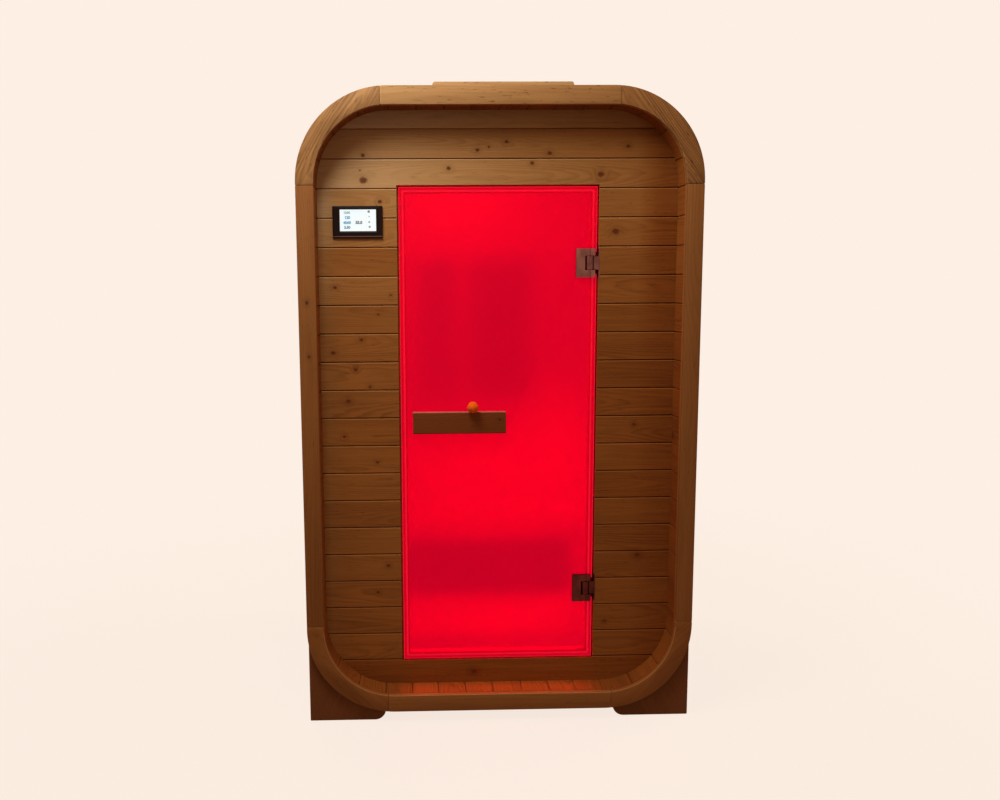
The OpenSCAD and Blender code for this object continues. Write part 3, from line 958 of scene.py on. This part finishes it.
# %% Front face ring
RING_EASE = 2.2 * MM
ring_middle = (Vector(cad_box[0]) + Vector(cad_box[1])) / 2


def on_inner_edge(face, curved):
    """Whether a face is on the eased edge that looks to the middle of the ring."""
    to_middle = ring_middle - face.center
    inward = face.normal.x * to_middle.x + face.normal.z * to_middle.z > 0
    at_joint = curved and min(abs(face.normal.x), abs(face.normal.z)) < 0.02
    return inward and not at_joint and -0.97 < face.normal.y < -0.2


stile_knots = [(-0.593, -0.55, 1.355, 6 * MM), (-0.591, -0.55, 1.19, 4.5 * MM)]
# node: direction of the grain, tone at the left and the right, painted light for how the lamp
# falls, share on the inner edge, a painted highlight below 1 and painted shade above it, timber
ring_grain = {"front_top_rail": (0, 0.97, 1.22, 0.85, rail_wood),
              "front_bottom_rail": (0, 1.17, 1.17, 0.75, ring_wood),
              "front_left_stile": (90, 1.19, 1.19, 1.0, ring_wood),
              "front_right_stile": (90, 1.14, 1.14, 1.2, ring_wood),
              "front_top_left_corner": (57, 1.14, 1.0, 0.9, corner_wood),
              "front_top_right_corner": (124, 1.24, 1.24, 0.9, corner_wood),
              "front_bottom_left_corner": (138, 1.21, 1.21, 0.75, ring_wood),
              "front_bottom_right_corner": (42, 1.24, 1.24, 0.75, ring_wood)}
for node, (degrees, left, right, edge_light, timber) in ring_grain.items():
    piece = eased_copy(node, node + "_eased", RING_EASE)
    mark_grain(piece, front_axes(middle_of(node), degrees),
               knots=stile_knots if node == "front_left_stile" else ())
    ends = [vertex.co.x for vertex in piece.data.vertices]
    low_x, width = min(ends), max(ends) - min(ends)

    def ring_tone(tone, face, corner):
        """The piece's plain tone with painted light: changed from left to right and on the inner edge."""
        tone *= left + (right - left) * (corner.x - low_x) / width
        return tone * edge_light if on_inner_edge(face, "corner" in node) else tone

    corner_tones(piece, ring_tone)
    seat(piece, [node], "cabin", "timber_light", timber)

# %% Rear face ring
ring_back = cad_box[1][1]
rails = eased_copy("rear_rails", "rear_rails_eased", RING_EASE)
corners = eased_copy("rear_corners", "rear_corners_eased", RING_EASE)
for side_x in (-1, 1):
    mark_grain(rails, front_axes((side_x * 0.6, ring_back, ring_middle.z), 90),
               where=lambda spot: spot.x * side_x > 0.5)
    for side_z in (-1, 1):
        middle = (side_x * 0.5, ring_back, ring_middle.z + side_z * 0.8)
        mark_grain(corners, front_axes(middle, 90 + 38 * side_x * side_z),
                   where=lambda spot: spot.x * side_x > 0 and (spot.z - ring_middle.z) * side_z > 0)
for side_z in (-1, 1):
    mark_grain(rails, front_axes((0, ring_back, ring_middle.z + side_z * 0.95), 0),
               where=lambda spot: abs(spot.x) < 0.5 and (spot.z - ring_middle.z) * side_z > 0)
seat(rails, ["rear_rails"], "cabin", "timber_light", ring_wood)
seat(corners, ["rear_corners"], "cabin", "timber_light", ring_wood)

# %% [markdown]
# ## Feet and roof batten
# The cabin stands on four wide feet, cut away in a curve at the inside, and a loose batten lies
# on the roof behind the front ring. They are plain planed planks, so eased copies serve, each
# with its own grain.

# %% Feet and batten
for node in ("front_feet", "rear_feet"):
    low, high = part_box(node)
    piece = eased_copy(node, node + "_eased", 3 * MM)
    for side_x in (-1, 1):
        axes = front_axes((side_x * 0.5, (low.y + high.y) / 2, high.z / 2), 90 + 28 * side_x)
        mark_grain(piece, axes, tone=1.1, where=lambda spot: spot.x * side_x > 0)
    seat(piece, [node], "cabin", "timber_dark", foot_wood)
batten = eased_copy("roof_batten", "roof_batten_eased", 2.5 * MM)
mark_grain(batten, board_axes(middle_of("roof_batten"), (0, 1, 0), (0, 0, -1)), tone=0.9)
seat(batten, ["roof_batten"], "cabin", "timber_light", rail_wood)

# %% [markdown]
# ## Door frame
# Four slim strips line the doorway behind the glass, and the glass closes against them. Their
# grain runs along them, so the jambs stand and the head and sill lie.

# %% Door frame
for node, degrees in (("door_head", 0), ("door_sill", 0), ("door_latch_jamb", 90),
                      ("door_hinge_jamb", 90)):
    piece = eased_copy(node, node + "_eased", 1.5 * MM)
    mark_grain(piece, front_axes(middle_of(node), degrees), tone=1.2)
    seat(piece, [node], "cabin", "timber", board_wood)

# %% [markdown]
# ## Red glass door
# The door is one sheet of safety glass with a red frosted film, lit from inside by red lamps. Its
# body lets blurred light through, and the film glows: emission paints the even light that such a
# film shows when it is lit evenly from behind, and transmission carries the soft shapes of what
# stands inside. A seal strip runs round behind the edge, and the emitted colour paints the light
# and shade of the border: it reads a little lighter, with a fine darker line where the seal
# ends, and a painted highlight along the polished edge. The seal's outer edge glows red, painted
# light for the glow that leaks round the glass. The seal's front is moved back a hair, because
# two faces in one plane flicker.

# %% Lines and sides of a panel
def fine_line(tree, distance, middle, width):
    """1 along a line at one distance from the edge, fading to 0 over its width."""
    offset = calc(tree, "ABSOLUTE", calc(tree, "SUBTRACT", distance, middle))
    return spread(tree, offset, 0.15 * width, 0.5 * width, 1.0, 0.0)


def side_distance(tree, place, low, high):
    """How far a point of an upright panel is from the nearest of its four sides."""
    spot = split(tree, place)
    from_sides = [calc(tree, "SUBTRACT", spot["X"], low.x), calc(tree, "SUBTRACT", high.x, spot["X"]),
                  calc(tree, "SUBTRACT", spot["Z"], low.z), calc(tree, "SUBTRACT", high.z, spot["Z"])]
    return calc(tree, "MINIMUM", calc(tree, "MINIMUM", *from_sides[:2]),
                calc(tree, "MINIMUM", *from_sides[2:]))


# %% Glass material
SEAL_WIDTH = 18 * MM
# distance from the edge, width, strength and colour of each painted line of light or shade in the film
film_lines = ((12.5 * MM, 7 * MM, 0.4, "A02440"), (6 * MM, 5 * MM, 0.3, "4A000C"),
              (SEAL_WIDTH, 5 * MM, 0.75, "4A000C"), (0.5 * MM, 5 * MM, 1.0, "801C34"))
glass_low, glass_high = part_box("door_glass")
film, tree, shader = new_material("red frosted glass", Base_Color="FF1030", Roughness=0.6,
                                  Transmission_Weight=0.9, IOR=1.08, Specular_IOR_Level=0.04,
                                  Emission_Strength=1.0)
place = object_place(tree)
rim = side_distance(tree, place, glass_low, glass_high)
mottle = noise(tree, place, (2.2, 2.2, 1.6), 2)
lit = mix(tree, calc(tree, "MULTIPLY", mottle, 0.2), "7C001E", "9E0022")
lit = mix(tree, spread(tree, rim, SEAL_WIDTH, SEAL_WIDTH + 1 * MM, 1.0, 0.0), lit, "740018")
for middle, width, strength, colour in film_lines:
    line = calc(tree, "MULTIPLY", fine_line(tree, rim, middle, width), strength)
    lit = mix(tree, line, lit, colour)
feed(shader, Emission_Color=lit)
emboss(tree, shader, 0.08, 0.4 * MM, noise(tree, place, (700, 700, 700), 2))
glass = eased_copy("door_glass", "door_glass_polished", 1.0 * MM)
seat(glass, ["door_glass"], "door", "red_glass", film)

# %% Seal
FLICKER_GAP = 0.3 * MM
rubber, tree, shader = new_material("seal strip", Specular_IOR_Level=0.3)
dust = noise(tree, object_place(tree), (60, 60, 25), 3)
feed(shader, Base_Color=mix(tree, dust, "6E1A1C", "8F2A28"),
     Roughness=spread(tree, dust, 0.2, 0.8, 0.45, 0.7))
# The seal's outer edge glows red though it is no lamp: painted light for the cabin glow that leaks round
# the glass onto the doorway.
glowing_seal_edge, tree, shader = new_material("seal outer edge glow", Roughness=0.4, Emission_Strength=5.0,
                                        Base_Color="8F2A28")
uneven = spread(tree, noise(tree, object_place(tree), (12, 12, 9), 2), 0.3, 0.7)
feed(shader, Emission_Color=mix(tree, uneven, "D81410", "FF2418"))
seal = eased_copy("door_seal", "door_seal_strip", 0.4 * MM)
pick_faces(seal, lambda spot, normal: normal.y < -0.9)
bpy.ops.transform.translate(value=(0, FLICKER_GAP, 0))
done()
seat(seal, ["door_seal"], "door", "seal", rubber, glowing_seal_edge)
middle = middle_of("door_seal")
second_finish(seal, lambda spot, normal: abs(normal.y) < 0.5
              and spot.x * normal.x + (spot.z - middle.z) * normal.z > 0.2)

# %% [markdown]
# ## Handle and knob
# The handle is a thick dark plank across the glass, nosed along its top. The knob above it is
# turned on a lathe: a ball on a thin neck with a small foot. A UV sphere is laid on its side, and
# the cap at its back is flattened, drawn in and extruded into the neck and the foot. Then the
# upper part of the ball is narrowed a little in two steps, because it isn't quite round.

# %% Handle
face_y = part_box("door_handle")[0].y
handle = eased_copy("door_handle", "door_handle_eased", 1.2 * MM)
mark_grain(handle, front_axes(middle_of("door_handle"), 0), tone=1.0,
           knots=[(0.004, face_y, 0.978, 3.5 * MM)])
seat(handle, ["door_handle"], "door", "timber_dark", handle_wood, handle_top_sheen)
# The top face takes the second timber, a painted reflection of the red glow.
second_finish(handle, lambda spot, normal: normal.z > 0.6)

# %% Knob
NECK_SHARE = 0.72
low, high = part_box("door_knob")
ball = (high.x - low.x) / 2
centre = Vector((middle_of("door_knob").x, low.y + ball, middle_of("door_knob").z))
back = centre.y + 0.78 * ball
bpy.ops.object.select_all(action="DESELECT")
bpy.ops.mesh.primitive_uv_sphere_add(segments=40, ring_count=24, radius=ball, location=centre,
                                     rotation=(math.radians(90), 0, 0))
knob = bpy.context.object
knob.name = "door_knob_turned"
bpy.ops.object.transform_apply(location=True, rotation=True, scale=True)
pick_faces(knob, lambda spot, normal: spot.y > back)
bpy.ops.transform.resize(value=(1, 0, 1), center_override=(centre.x, back, centre.z))
bpy.ops.mesh.inset(thickness=4 * MM, depth=0)
push(y=(high.y - back) * NECK_SHARE)
bpy.ops.mesh.inset(thickness=-3 * MM, depth=0, use_outset=False)
push(y=(high.y - back) * (1 - NECK_SHARE))
for share, narrow in ((0.15, 0.95), (0.5, 0.92)):
    pick_faces(knob, lambda spot, normal: spot.z > centre.z + share * ball)
    bpy.ops.transform.resize(value=(narrow, 1, 1), center_override=centre)
done()
smooth(knob, 45)
knob_wood = wood_material("knob timber", "FF6A0C", "8C2C02", "4A1804", ring=3, contrast=0.6,
                          streaks=1.4, blotches=1.3, pores=1.2, specular=0.15)
mark_grain(knob, board_axes(centre, (1, 0, 0), (0, 0, 1)), log=Vector((3, 0.01, 0.004)))
seat(knob, ["door_knob"], "door", "knob_wood", knob_wood)
print("knob", [round(side / MM, 1) for side in knob.dimensions])

# %% [markdown]
# ## Glass hinges
# Each hinge is a pair of plates clamped on the glass. They turn round a fixed block that fills
# their notch, and the block's leaf is let into the wall. They are satin steel, brushed along
# their height, so the brushing is noise stretched along Z that moves both the roughness and the
# surface.

# %% Hinge steel and hinges
satin, brushed, out = new_group("brushed satin", {"Place": "vector", "Fineness": "value"},
                                {"Roughness": "value", "Height": "value", "Smear": "value"})
tree = satin
fine = put(tree, "CombineXYZ", {0: brushed["Fineness"], 1: brushed["Fineness"], 2: 14.0})
lines = put(tree, "TexNoise", {"Vector": vector(tree, "MULTIPLY", brushed["Place"], fine),
                               "Scale": 1.0, "Detail": 3.0})
smear = noise(tree, brushed["Place"], (30, 30, 22), 3)
rough = calc(tree, "ADD", spread(tree, lines, 0.3, 0.7, 0.30, 0.42), calc(tree, "MULTIPLY", smear, 0.12))
tree.links.new(rough, out["Roughness"])
tree.links.new(lines, out["Height"])
tree.links.new(smear, out["Smear"])


def steel_material(name, clean, handled, fineness):
    """Brushed metal that is darker where hands and heat have dulled it."""
    material, tree, shader = new_material(name, Metallic=1.0)
    made = place_group(tree, satin, {"Place": object_place(tree), "Fineness": fineness})
    dull = spread(tree, made["Smear"], 0.35, 0.7)
    feed(shader, Base_Color=mix(tree, dull, clean, handled), Roughness=made["Roughness"])
    emboss(tree, shader, 0.12, 0.3 * MM, made["Height"])
    return material


# piece, the body it rides on, its clean and its dulled colour, fineness of the brushing; the
# colours are tinted red-brown as a painted reflection of the red glow, and the lower hinge's are
# darker as painted shade
for piece, body, clean, handled, fineness in (("upper_hinge_clamp", "door", "845246", "6C4238", 900.0),
                                              ("upper_hinge_block", "cabin", "7C4C42", "5A322A", 700.0),
                                              ("lower_hinge_clamp", "door", "54221A", "3C1610", 900.0),
                                              ("lower_hinge_block", "cabin", "4C1E18", "361410", 700.0)):
    steel = steel_material(piece.replace("hinge_", "").replace("_", " ") + " steel", clean, handled,
                           fineness)
    seat(eased_copy(piece, piece + "_eased", 0.8 * MM), [piece], body, "hinge_steel", steel)

# %% [markdown]
# ## Control panel
# A small touch screen sits in a dark moulded bezel. The bezel starts as a box whose four edges
# that run front to back are rounded. Its front is then stepped: a chamfer round the outside, a
# flat field, a low inner frame, and a pocket for the screen. Every step is the same move:
# extrude the front face, scale the new face, and bring its middle to the screen's.

# %% Bezel
panel_low, panel_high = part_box("control_panel")
screen_low, screen_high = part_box("control_screen")
screen_middle = middle_of("control_screen")
screen_size = screen_high - screen_low
CHAMFER_SHARES = Vector((0.975, 1, 0.96))
# margin round the screen and depth of each step, from the flat field to the screen's pocket
steps = ((4.5 * MM, 0), (4.0 * MM, -0.9 * MM), (0.4 * MM, 0), (0.2 * MM, 1.4 * MM))
bezel = plain_box("control_bezel", (panel_low.x, panel_low.y + 2.2 * MM, panel_low.z), panel_high)
pick_edges(bezel, lambda a, b: abs(a.y - b.y) > 1 * MM)
bpy.ops.mesh.bevel(offset=3 * MM, segments=5, affect="EDGES")
pick_faces(bezel, lambda spot, normal: normal.y < -0.9)
push(y=-1.2 * MM)
front_middle = middle_of("control_panel")
bpy.ops.transform.resize(value=CHAMFER_SHARES, center_override=front_middle)
front_size = (panel_high - panel_low) * CHAMFER_SHARES
for margin, depth in steps:
    wanted = screen_size + Vector((2 * margin, 0, 2 * margin))
    push(y=depth)
    bpy.ops.transform.resize(value=(wanted.x / front_size.x, 1, wanted.z / front_size.z),
                             center_override=front_middle)
    drift = screen_middle - front_middle
    bpy.ops.transform.translate(value=(drift.x, 0, drift.z))
    front_size, front_middle = wanted, screen_middle
done()
apply(bezel, "BEVEL", width=0.35 * MM, segments=2, limit_method="ANGLE",
      angle_limit=math.radians(30))
smooth(bezel)
print("bezel", [round(side / MM, 1) for side in bezel.dimensions])

# %% Moulded finish of the bezel
moulded, tree, shader = new_material("moulded bezel", Specular_IOR_Level=0.08)
place = object_place(tree)
cloud = noise(tree, place, (40, 40, 40), 3)
lip = calc(tree, "SUBTRACT", split(tree, place)["Z"], panel_low.z)
body = mix(tree, cloud, "150805", "24100A")
# A pale line along the lower lip is a painted highlight.
body = mix(tree, fine_line(tree, lip, 5.5 * MM, 3.2 * MM), body, "785850")
feed(shader, Base_Color=body, Roughness=spread(tree, cloud, 0.3, 0.7, 0.32, 0.46))
emboss(tree, shader, 0.15, 0.1 * MM, noise(tree, place, (1500, 1500, 1500), 2))
seat(bezel, ["control_panel"], "cabin", "panel_black", moulded)

# %% [markdown]
# The screen is lit white with a cool tint. Its marks are generic numbers for time, warmth and
# minutes, with plain signs down the right-hand side. They are text and small shapes turned into
# mesh, a tenth of a millimetre thick, and each keeps its ink as a colour attribute, so one
# material serves them all.

# %% Screen
screen_y = panel_low.y + 0.9 * MM
screen = plain_box("control_screen_glass", (screen_low.x, screen_y, screen_low.z), screen_high)
apply(screen, "BEVEL", width=0.3 * MM, segments=2)
lit_low = screen_low + Vector((1 * MM, 0, 3.5 * MM))
lit_high = screen_high - Vector((1 * MM, 0, 2 * MM))
lit_size = lit_high - lit_low
display, tree, shader = new_material("lit screen", Roughness=0.2, Emission_Strength=0.94,
                                     Base_Color="20282A")
place = object_place(tree)
wash = spread(tree, noise(tree, place, (9, 9, 14), 1), 0.35, 0.65)
divider = calc(tree, "SUBTRACT", split(tree, place)["X"], lit_low.x + 0.73 * lit_size.x)
divider = spread(tree, calc(tree, "ABSOLUTE", divider), 0.2 * MM, 0.8 * MM, 0.16, 0.0)
page = mix(tree, wash, "FBFFFF", "EEFCFF")
page = mix(tree, divider, page, "7C98A0")
inside = spread(tree, side_distance(tree, place, lit_low, lit_high), 0.0, 0.6 * MM)
feed(shader, Emission_Color=mix(tree, inside, "0A0A0A", page))
seat(screen, ["control_screen"], "cabin", "screen", display)

# %% Marks on the screen
INK_THICK = 0.1 * MM
CORNERS = {"dot": 20, "drop": 3, "tile": 4}
ink, tree, shader = new_material("screen ink", Roughness=0.5, Emission_Strength=0.75)
flicker = noise(tree, object_place(tree), (900, 900, 900), 1)
tint = mix(tree, calc(tree, "MULTIPLY", flicker, 0.25), attribute(tree, "ink", "Color"), "DDF4F8")
feed(shader, Emission_Color=tint, Base_Color=tint)


def screen_mark(kind, right, up, size, colour, words=""):
    """One mark, size millimetres tall; right and up are shares of the lit area."""
    bpy.ops.object.select_all(action="DESELECT")
    place = (lit_low.x + right * lit_size.x, screen_y, lit_low.z + up * lit_size.z)
    turned = (math.radians(90), 0, 0)
    if kind == "text":
        bpy.ops.object.text_add(location=place, rotation=turned)
        text = bpy.context.object.data
        text.body = words
        text.size = size * MM
        text.extrude = INK_THICK / 2
        text.offset = 0.07 * size * MM
        text.align_x = "CENTER"
        text.align_y = "CENTER"
        bpy.ops.object.convert(target="MESH")
    else:
        bpy.ops.mesh.primitive_cylinder_add(vertices=CORNERS[kind], radius=size * MM / 2,
                                            depth=INK_THICK, location=place, rotation=turned)
    mark = bpy.context.object
    bpy.ops.object.transform_apply(location=True, rotation=True, scale=True)
    for item in mark.data.attributes.new("ink", "FLOAT_COLOR", "POINT").data:
        item.color = paint(colour)
    return mark


marks = [screen_mark("text", 0.195, 0.85, 9, "5E7468", "12:30"),
         screen_mark("text", 0.208, 0.625, 11.5, "1E7096", "120"),
         screen_mark("text", 0.20, 0.39, 10.5, "0C6088", "45:00"),
         screen_mark("text", 0.20, 0.17, 11, "28546E", "3.50"),
         screen_mark("text", 0.525, 0.395, 12, "1C2224", "55.0"),
         screen_mark("dot", 0.80, 0.90, 8, "282C30"),
         screen_mark("drop", 0.81, 0.67, 7, "6A777C"),
         screen_mark("tile", 0.81, 0.42, 7.5, "4E5A60"),
         screen_mark("dot", 0.82, 0.20, 7, "545F65")]
seat(join("control_screen_marks", marks), [], "cabin", "screen", ink)

# %% [markdown]
# ## Inside the cabin
# Behind the glass are a slatted bench with a boarded front, two tall heaters on the rear wall, a
# low one for the legs, and a lamp bar in the ceiling. A slat is modelled once, with its long
# edges rounded, and copied. The bench front is tongued board again, thinner, cut to the rounded
# floor corners by the CAD panel that it replaces.

# %% Bench
SLATS = 5
SLAT_GAP = 7 * MM
low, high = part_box("bench_seat")
slat_width = (high.y - low.y - SLAT_GAP * (SLATS - 1)) / SLATS
first_slat = plain_box("bench_slat", low, (high.x, low.y + slat_width, high.z))
pick_edges(first_slat, lambda a, b: abs(a.x - b.x) > 0.5)
bpy.ops.mesh.bevel(offset=5 * MM, segments=4, affect="EDGES")
done()
slats = [first_slat]
for step in range(1, SLATS):
    slat = mesh_copy("bench_slat", first_slat.data)
    only(slat)
    slat.location.y = step * (slat_width + SLAT_GAP)
    bpy.ops.object.transform_apply(location=True)
    slats.append(slat)
for step, slat in enumerate(slats):
    middle = (0, low.y + slat_width / 2 + step * (slat_width + SLAT_GAP), (low.z + high.z) / 2)
    knots = [(saw.uniform(-0.5, 0.5), middle[1], high.z, 6 * MM) for _ in range(saw.randint(0, 2))]
    mark_grain(slat, board_axes(middle, (0, 1, 0), (0, 0, -1)), tone=saw.uniform(0.93, 1.05), knots=knots)
bench = join("bench_slats", slats)
smooth(bench)
seat(bench, ["bench_seat"], "cabin", "timber_light", bench_wood)

# %% Bench front
FRONT_ROWS = 4
low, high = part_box("bench_front")
panel = merged_copy("bench_front", "bench_front_cutter")
height = (high.z - low.z) / FRONT_ROWS
boards = []
for row in range(FRONT_ROWS):
    board = standing_board("bench_front_board", height, high.x - low.x, high.y - low.y,
                           row > 0, row < FRONT_ROWS - 1)
    axes = board_axes((0, (low.y + high.y) / 2, low.z + height * (row + 0.5)), (0, 0, 1), (0, 1, 0))
    lay(board, axes)
    cut(board, panel, "INTERSECT")
    mark_grain(board, axes, tone=0.95)
    boards.append(board)
bench_front = join("bench_front_boards", boards)
bpy.data.objects.remove(panel)
seat(bench_front, ["bench_front"], "cabin", "timber_light", bench_wood)

# %% [markdown]
# The heaters are thin panels: a dark painted rim round a woven carbon sheet. The CAD already has
# the rim, so the copy keeps it, and the sheet is the face that lies deeper than the rim. Its
# weave is two crossed waves. The lamp bar has a metal case and a glowing red diffuser beneath.

# %% Heaters
rim_paint, tree, shader = new_material("heater rim", Specular_IOR_Level=0.35)
place = object_place(tree)
shade = noise(tree, place, (8, 8, 8), 3)
feed(shader, Base_Color=mix(tree, shade, "1B1817", "2A2523"),
     Roughness=spread(tree, shade, 0.3, 0.7, 0.4, 0.55))
emboss(tree, shader, 0.1, 0.2 * MM, noise(tree, place, (500, 500, 500), 2))

carbon, tree, shader = new_material("carbon weave", Roughness=0.62, Specular_IOR_Level=0.3)
place = object_place(tree)
spot = split(tree, place)
warp, weft = [calc(tree, "SINE", calc(tree, "MULTIPLY", spot[axis], 900.0)) for axis in ("X", "Z")]
weave = calc(tree, "MULTIPLY", warp, weft)
threads = mix(tree, spread(tree, weave, -1.0, 1.0), "161414", "2E2A29")
feed(shader, Base_Color=mix(tree, noise(tree, place, (6, 6, 6), 3), threads, "221D1C"))
emboss(tree, shader, 0.4, 0.8 * MM, weave)

for node in ("back_heaters", "calf_heater"):
    rim_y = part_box(node)[0].y
    piece = eased_copy(node, node + "_rimmed", 0.8 * MM)
    seat(piece, [node], "cabin", "heater_black", rim_paint, carbon)
    second_finish(piece, lambda spot, normal: normal.y < -0.9 and spot.y > rim_y + 0.5 * MM)

# %% Ceiling lamp
case = steel_material("lamp case", "B9B4AE", "8F8A85", 600.0)
diffuser, tree, shader = new_material("lamp diffuser", Roughness=0.4, Emission_Strength=5.0,
                                      Base_Color="C81828")
ribs = calc(tree, "SINE", calc(tree, "MULTIPLY", split(tree, object_place(tree))["X"], 700.0))
ribs = spread(tree, ribs, -1, 1)
feed(shader, Emission_Color=mix(tree, ribs, "FF1A22", "FF3A3A"))
lamp_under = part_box("ceiling_light")[0].z
lamp_bar = eased_copy("ceiling_light", "ceiling_light_case", 1.2 * MM)
pick_faces(lamp_bar, lambda spot, normal: normal.z < -0.9)
bpy.ops.mesh.inset(thickness=5 * MM, depth=-1.5 * MM)
done()
seat(lamp_bar, ["ceiling_light"], "cabin", "red_light", case, diffuser)
second_finish(lamp_bar, lambda spot, normal: normal.z < -0.9 and spot.z > lamp_under + 0.5 * MM)

# %% [markdown]
# Red lamps inside throw the light that the door shows: one under the ceiling bar with a small one
# towards the rear wall, two over the bench, and one low behind the door. One more, outside the
# door, stands for the glow that the lit glass throws on the porch. A narrowed spread keeps a lamp
# on its own place.

# %% Red glow
CABIN_RED = (1.0, 0.03, 0.05)
PORCH_RED = (1.0, 0.13, 0.10)
porch_y = glass_low.y - 55 * MM
# place, target, width, height, power in watts, spread in degrees, colour
red_lamps = {
    "cabin_glow_top": ((0, -0.05, 1.90), (0, 0.1, 0), 0.7, 0.3, 4.2, 180, CABIN_RED),
    "cabin_glow_wall": ((-0.08, 0.25, 1.82), (-0.1, 0.46, 1.66), 0.2, 0.06, 0.5, 180, CABIN_RED),
    "cabin_glow_bench": ((0.1, -0.30, 0.76), (0.1, 0.465, 0.61), 0.9, 0.08, 1.7, 50, CABIN_RED),
    "cabin_glow_side": ((0.32, 0.2, 0.86), (0.32, 0.465, 0.9), 0.25, 0.15, 0.3, 110, CABIN_RED),
    "cabin_glow_low": ((0, -0.34, 0.31), (0, -0.33, 0), 0.8, 0.1, 2.6, 180, CABIN_RED),
    "porch_glow": ((0, porch_y, 0.23), (0, porch_y - 5 * MM, 0), 0.6, 0.04, 0.17, 60, PORCH_RED)}
for name, (place, target, width, height, power, angle, colour) in red_lamps.items():
    light = lamp(name, place, target, width, power, colour)
    light.data.shape = "RECTANGLE"
    light.data.size_y = height
    light.data.spread = math.radians(angle)
    light.visible_camera = False
    light.visible_glossy = False
    light.visible_transmission = False
print("red lamps", len(red_lamps), "with", sum(entry[4] for entry in red_lamps.values()), "W")

# %% Size and finish
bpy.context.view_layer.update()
visual_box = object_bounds()
print("visual box", [round(b - a, 4) for a, b in zip(*visual_box)])
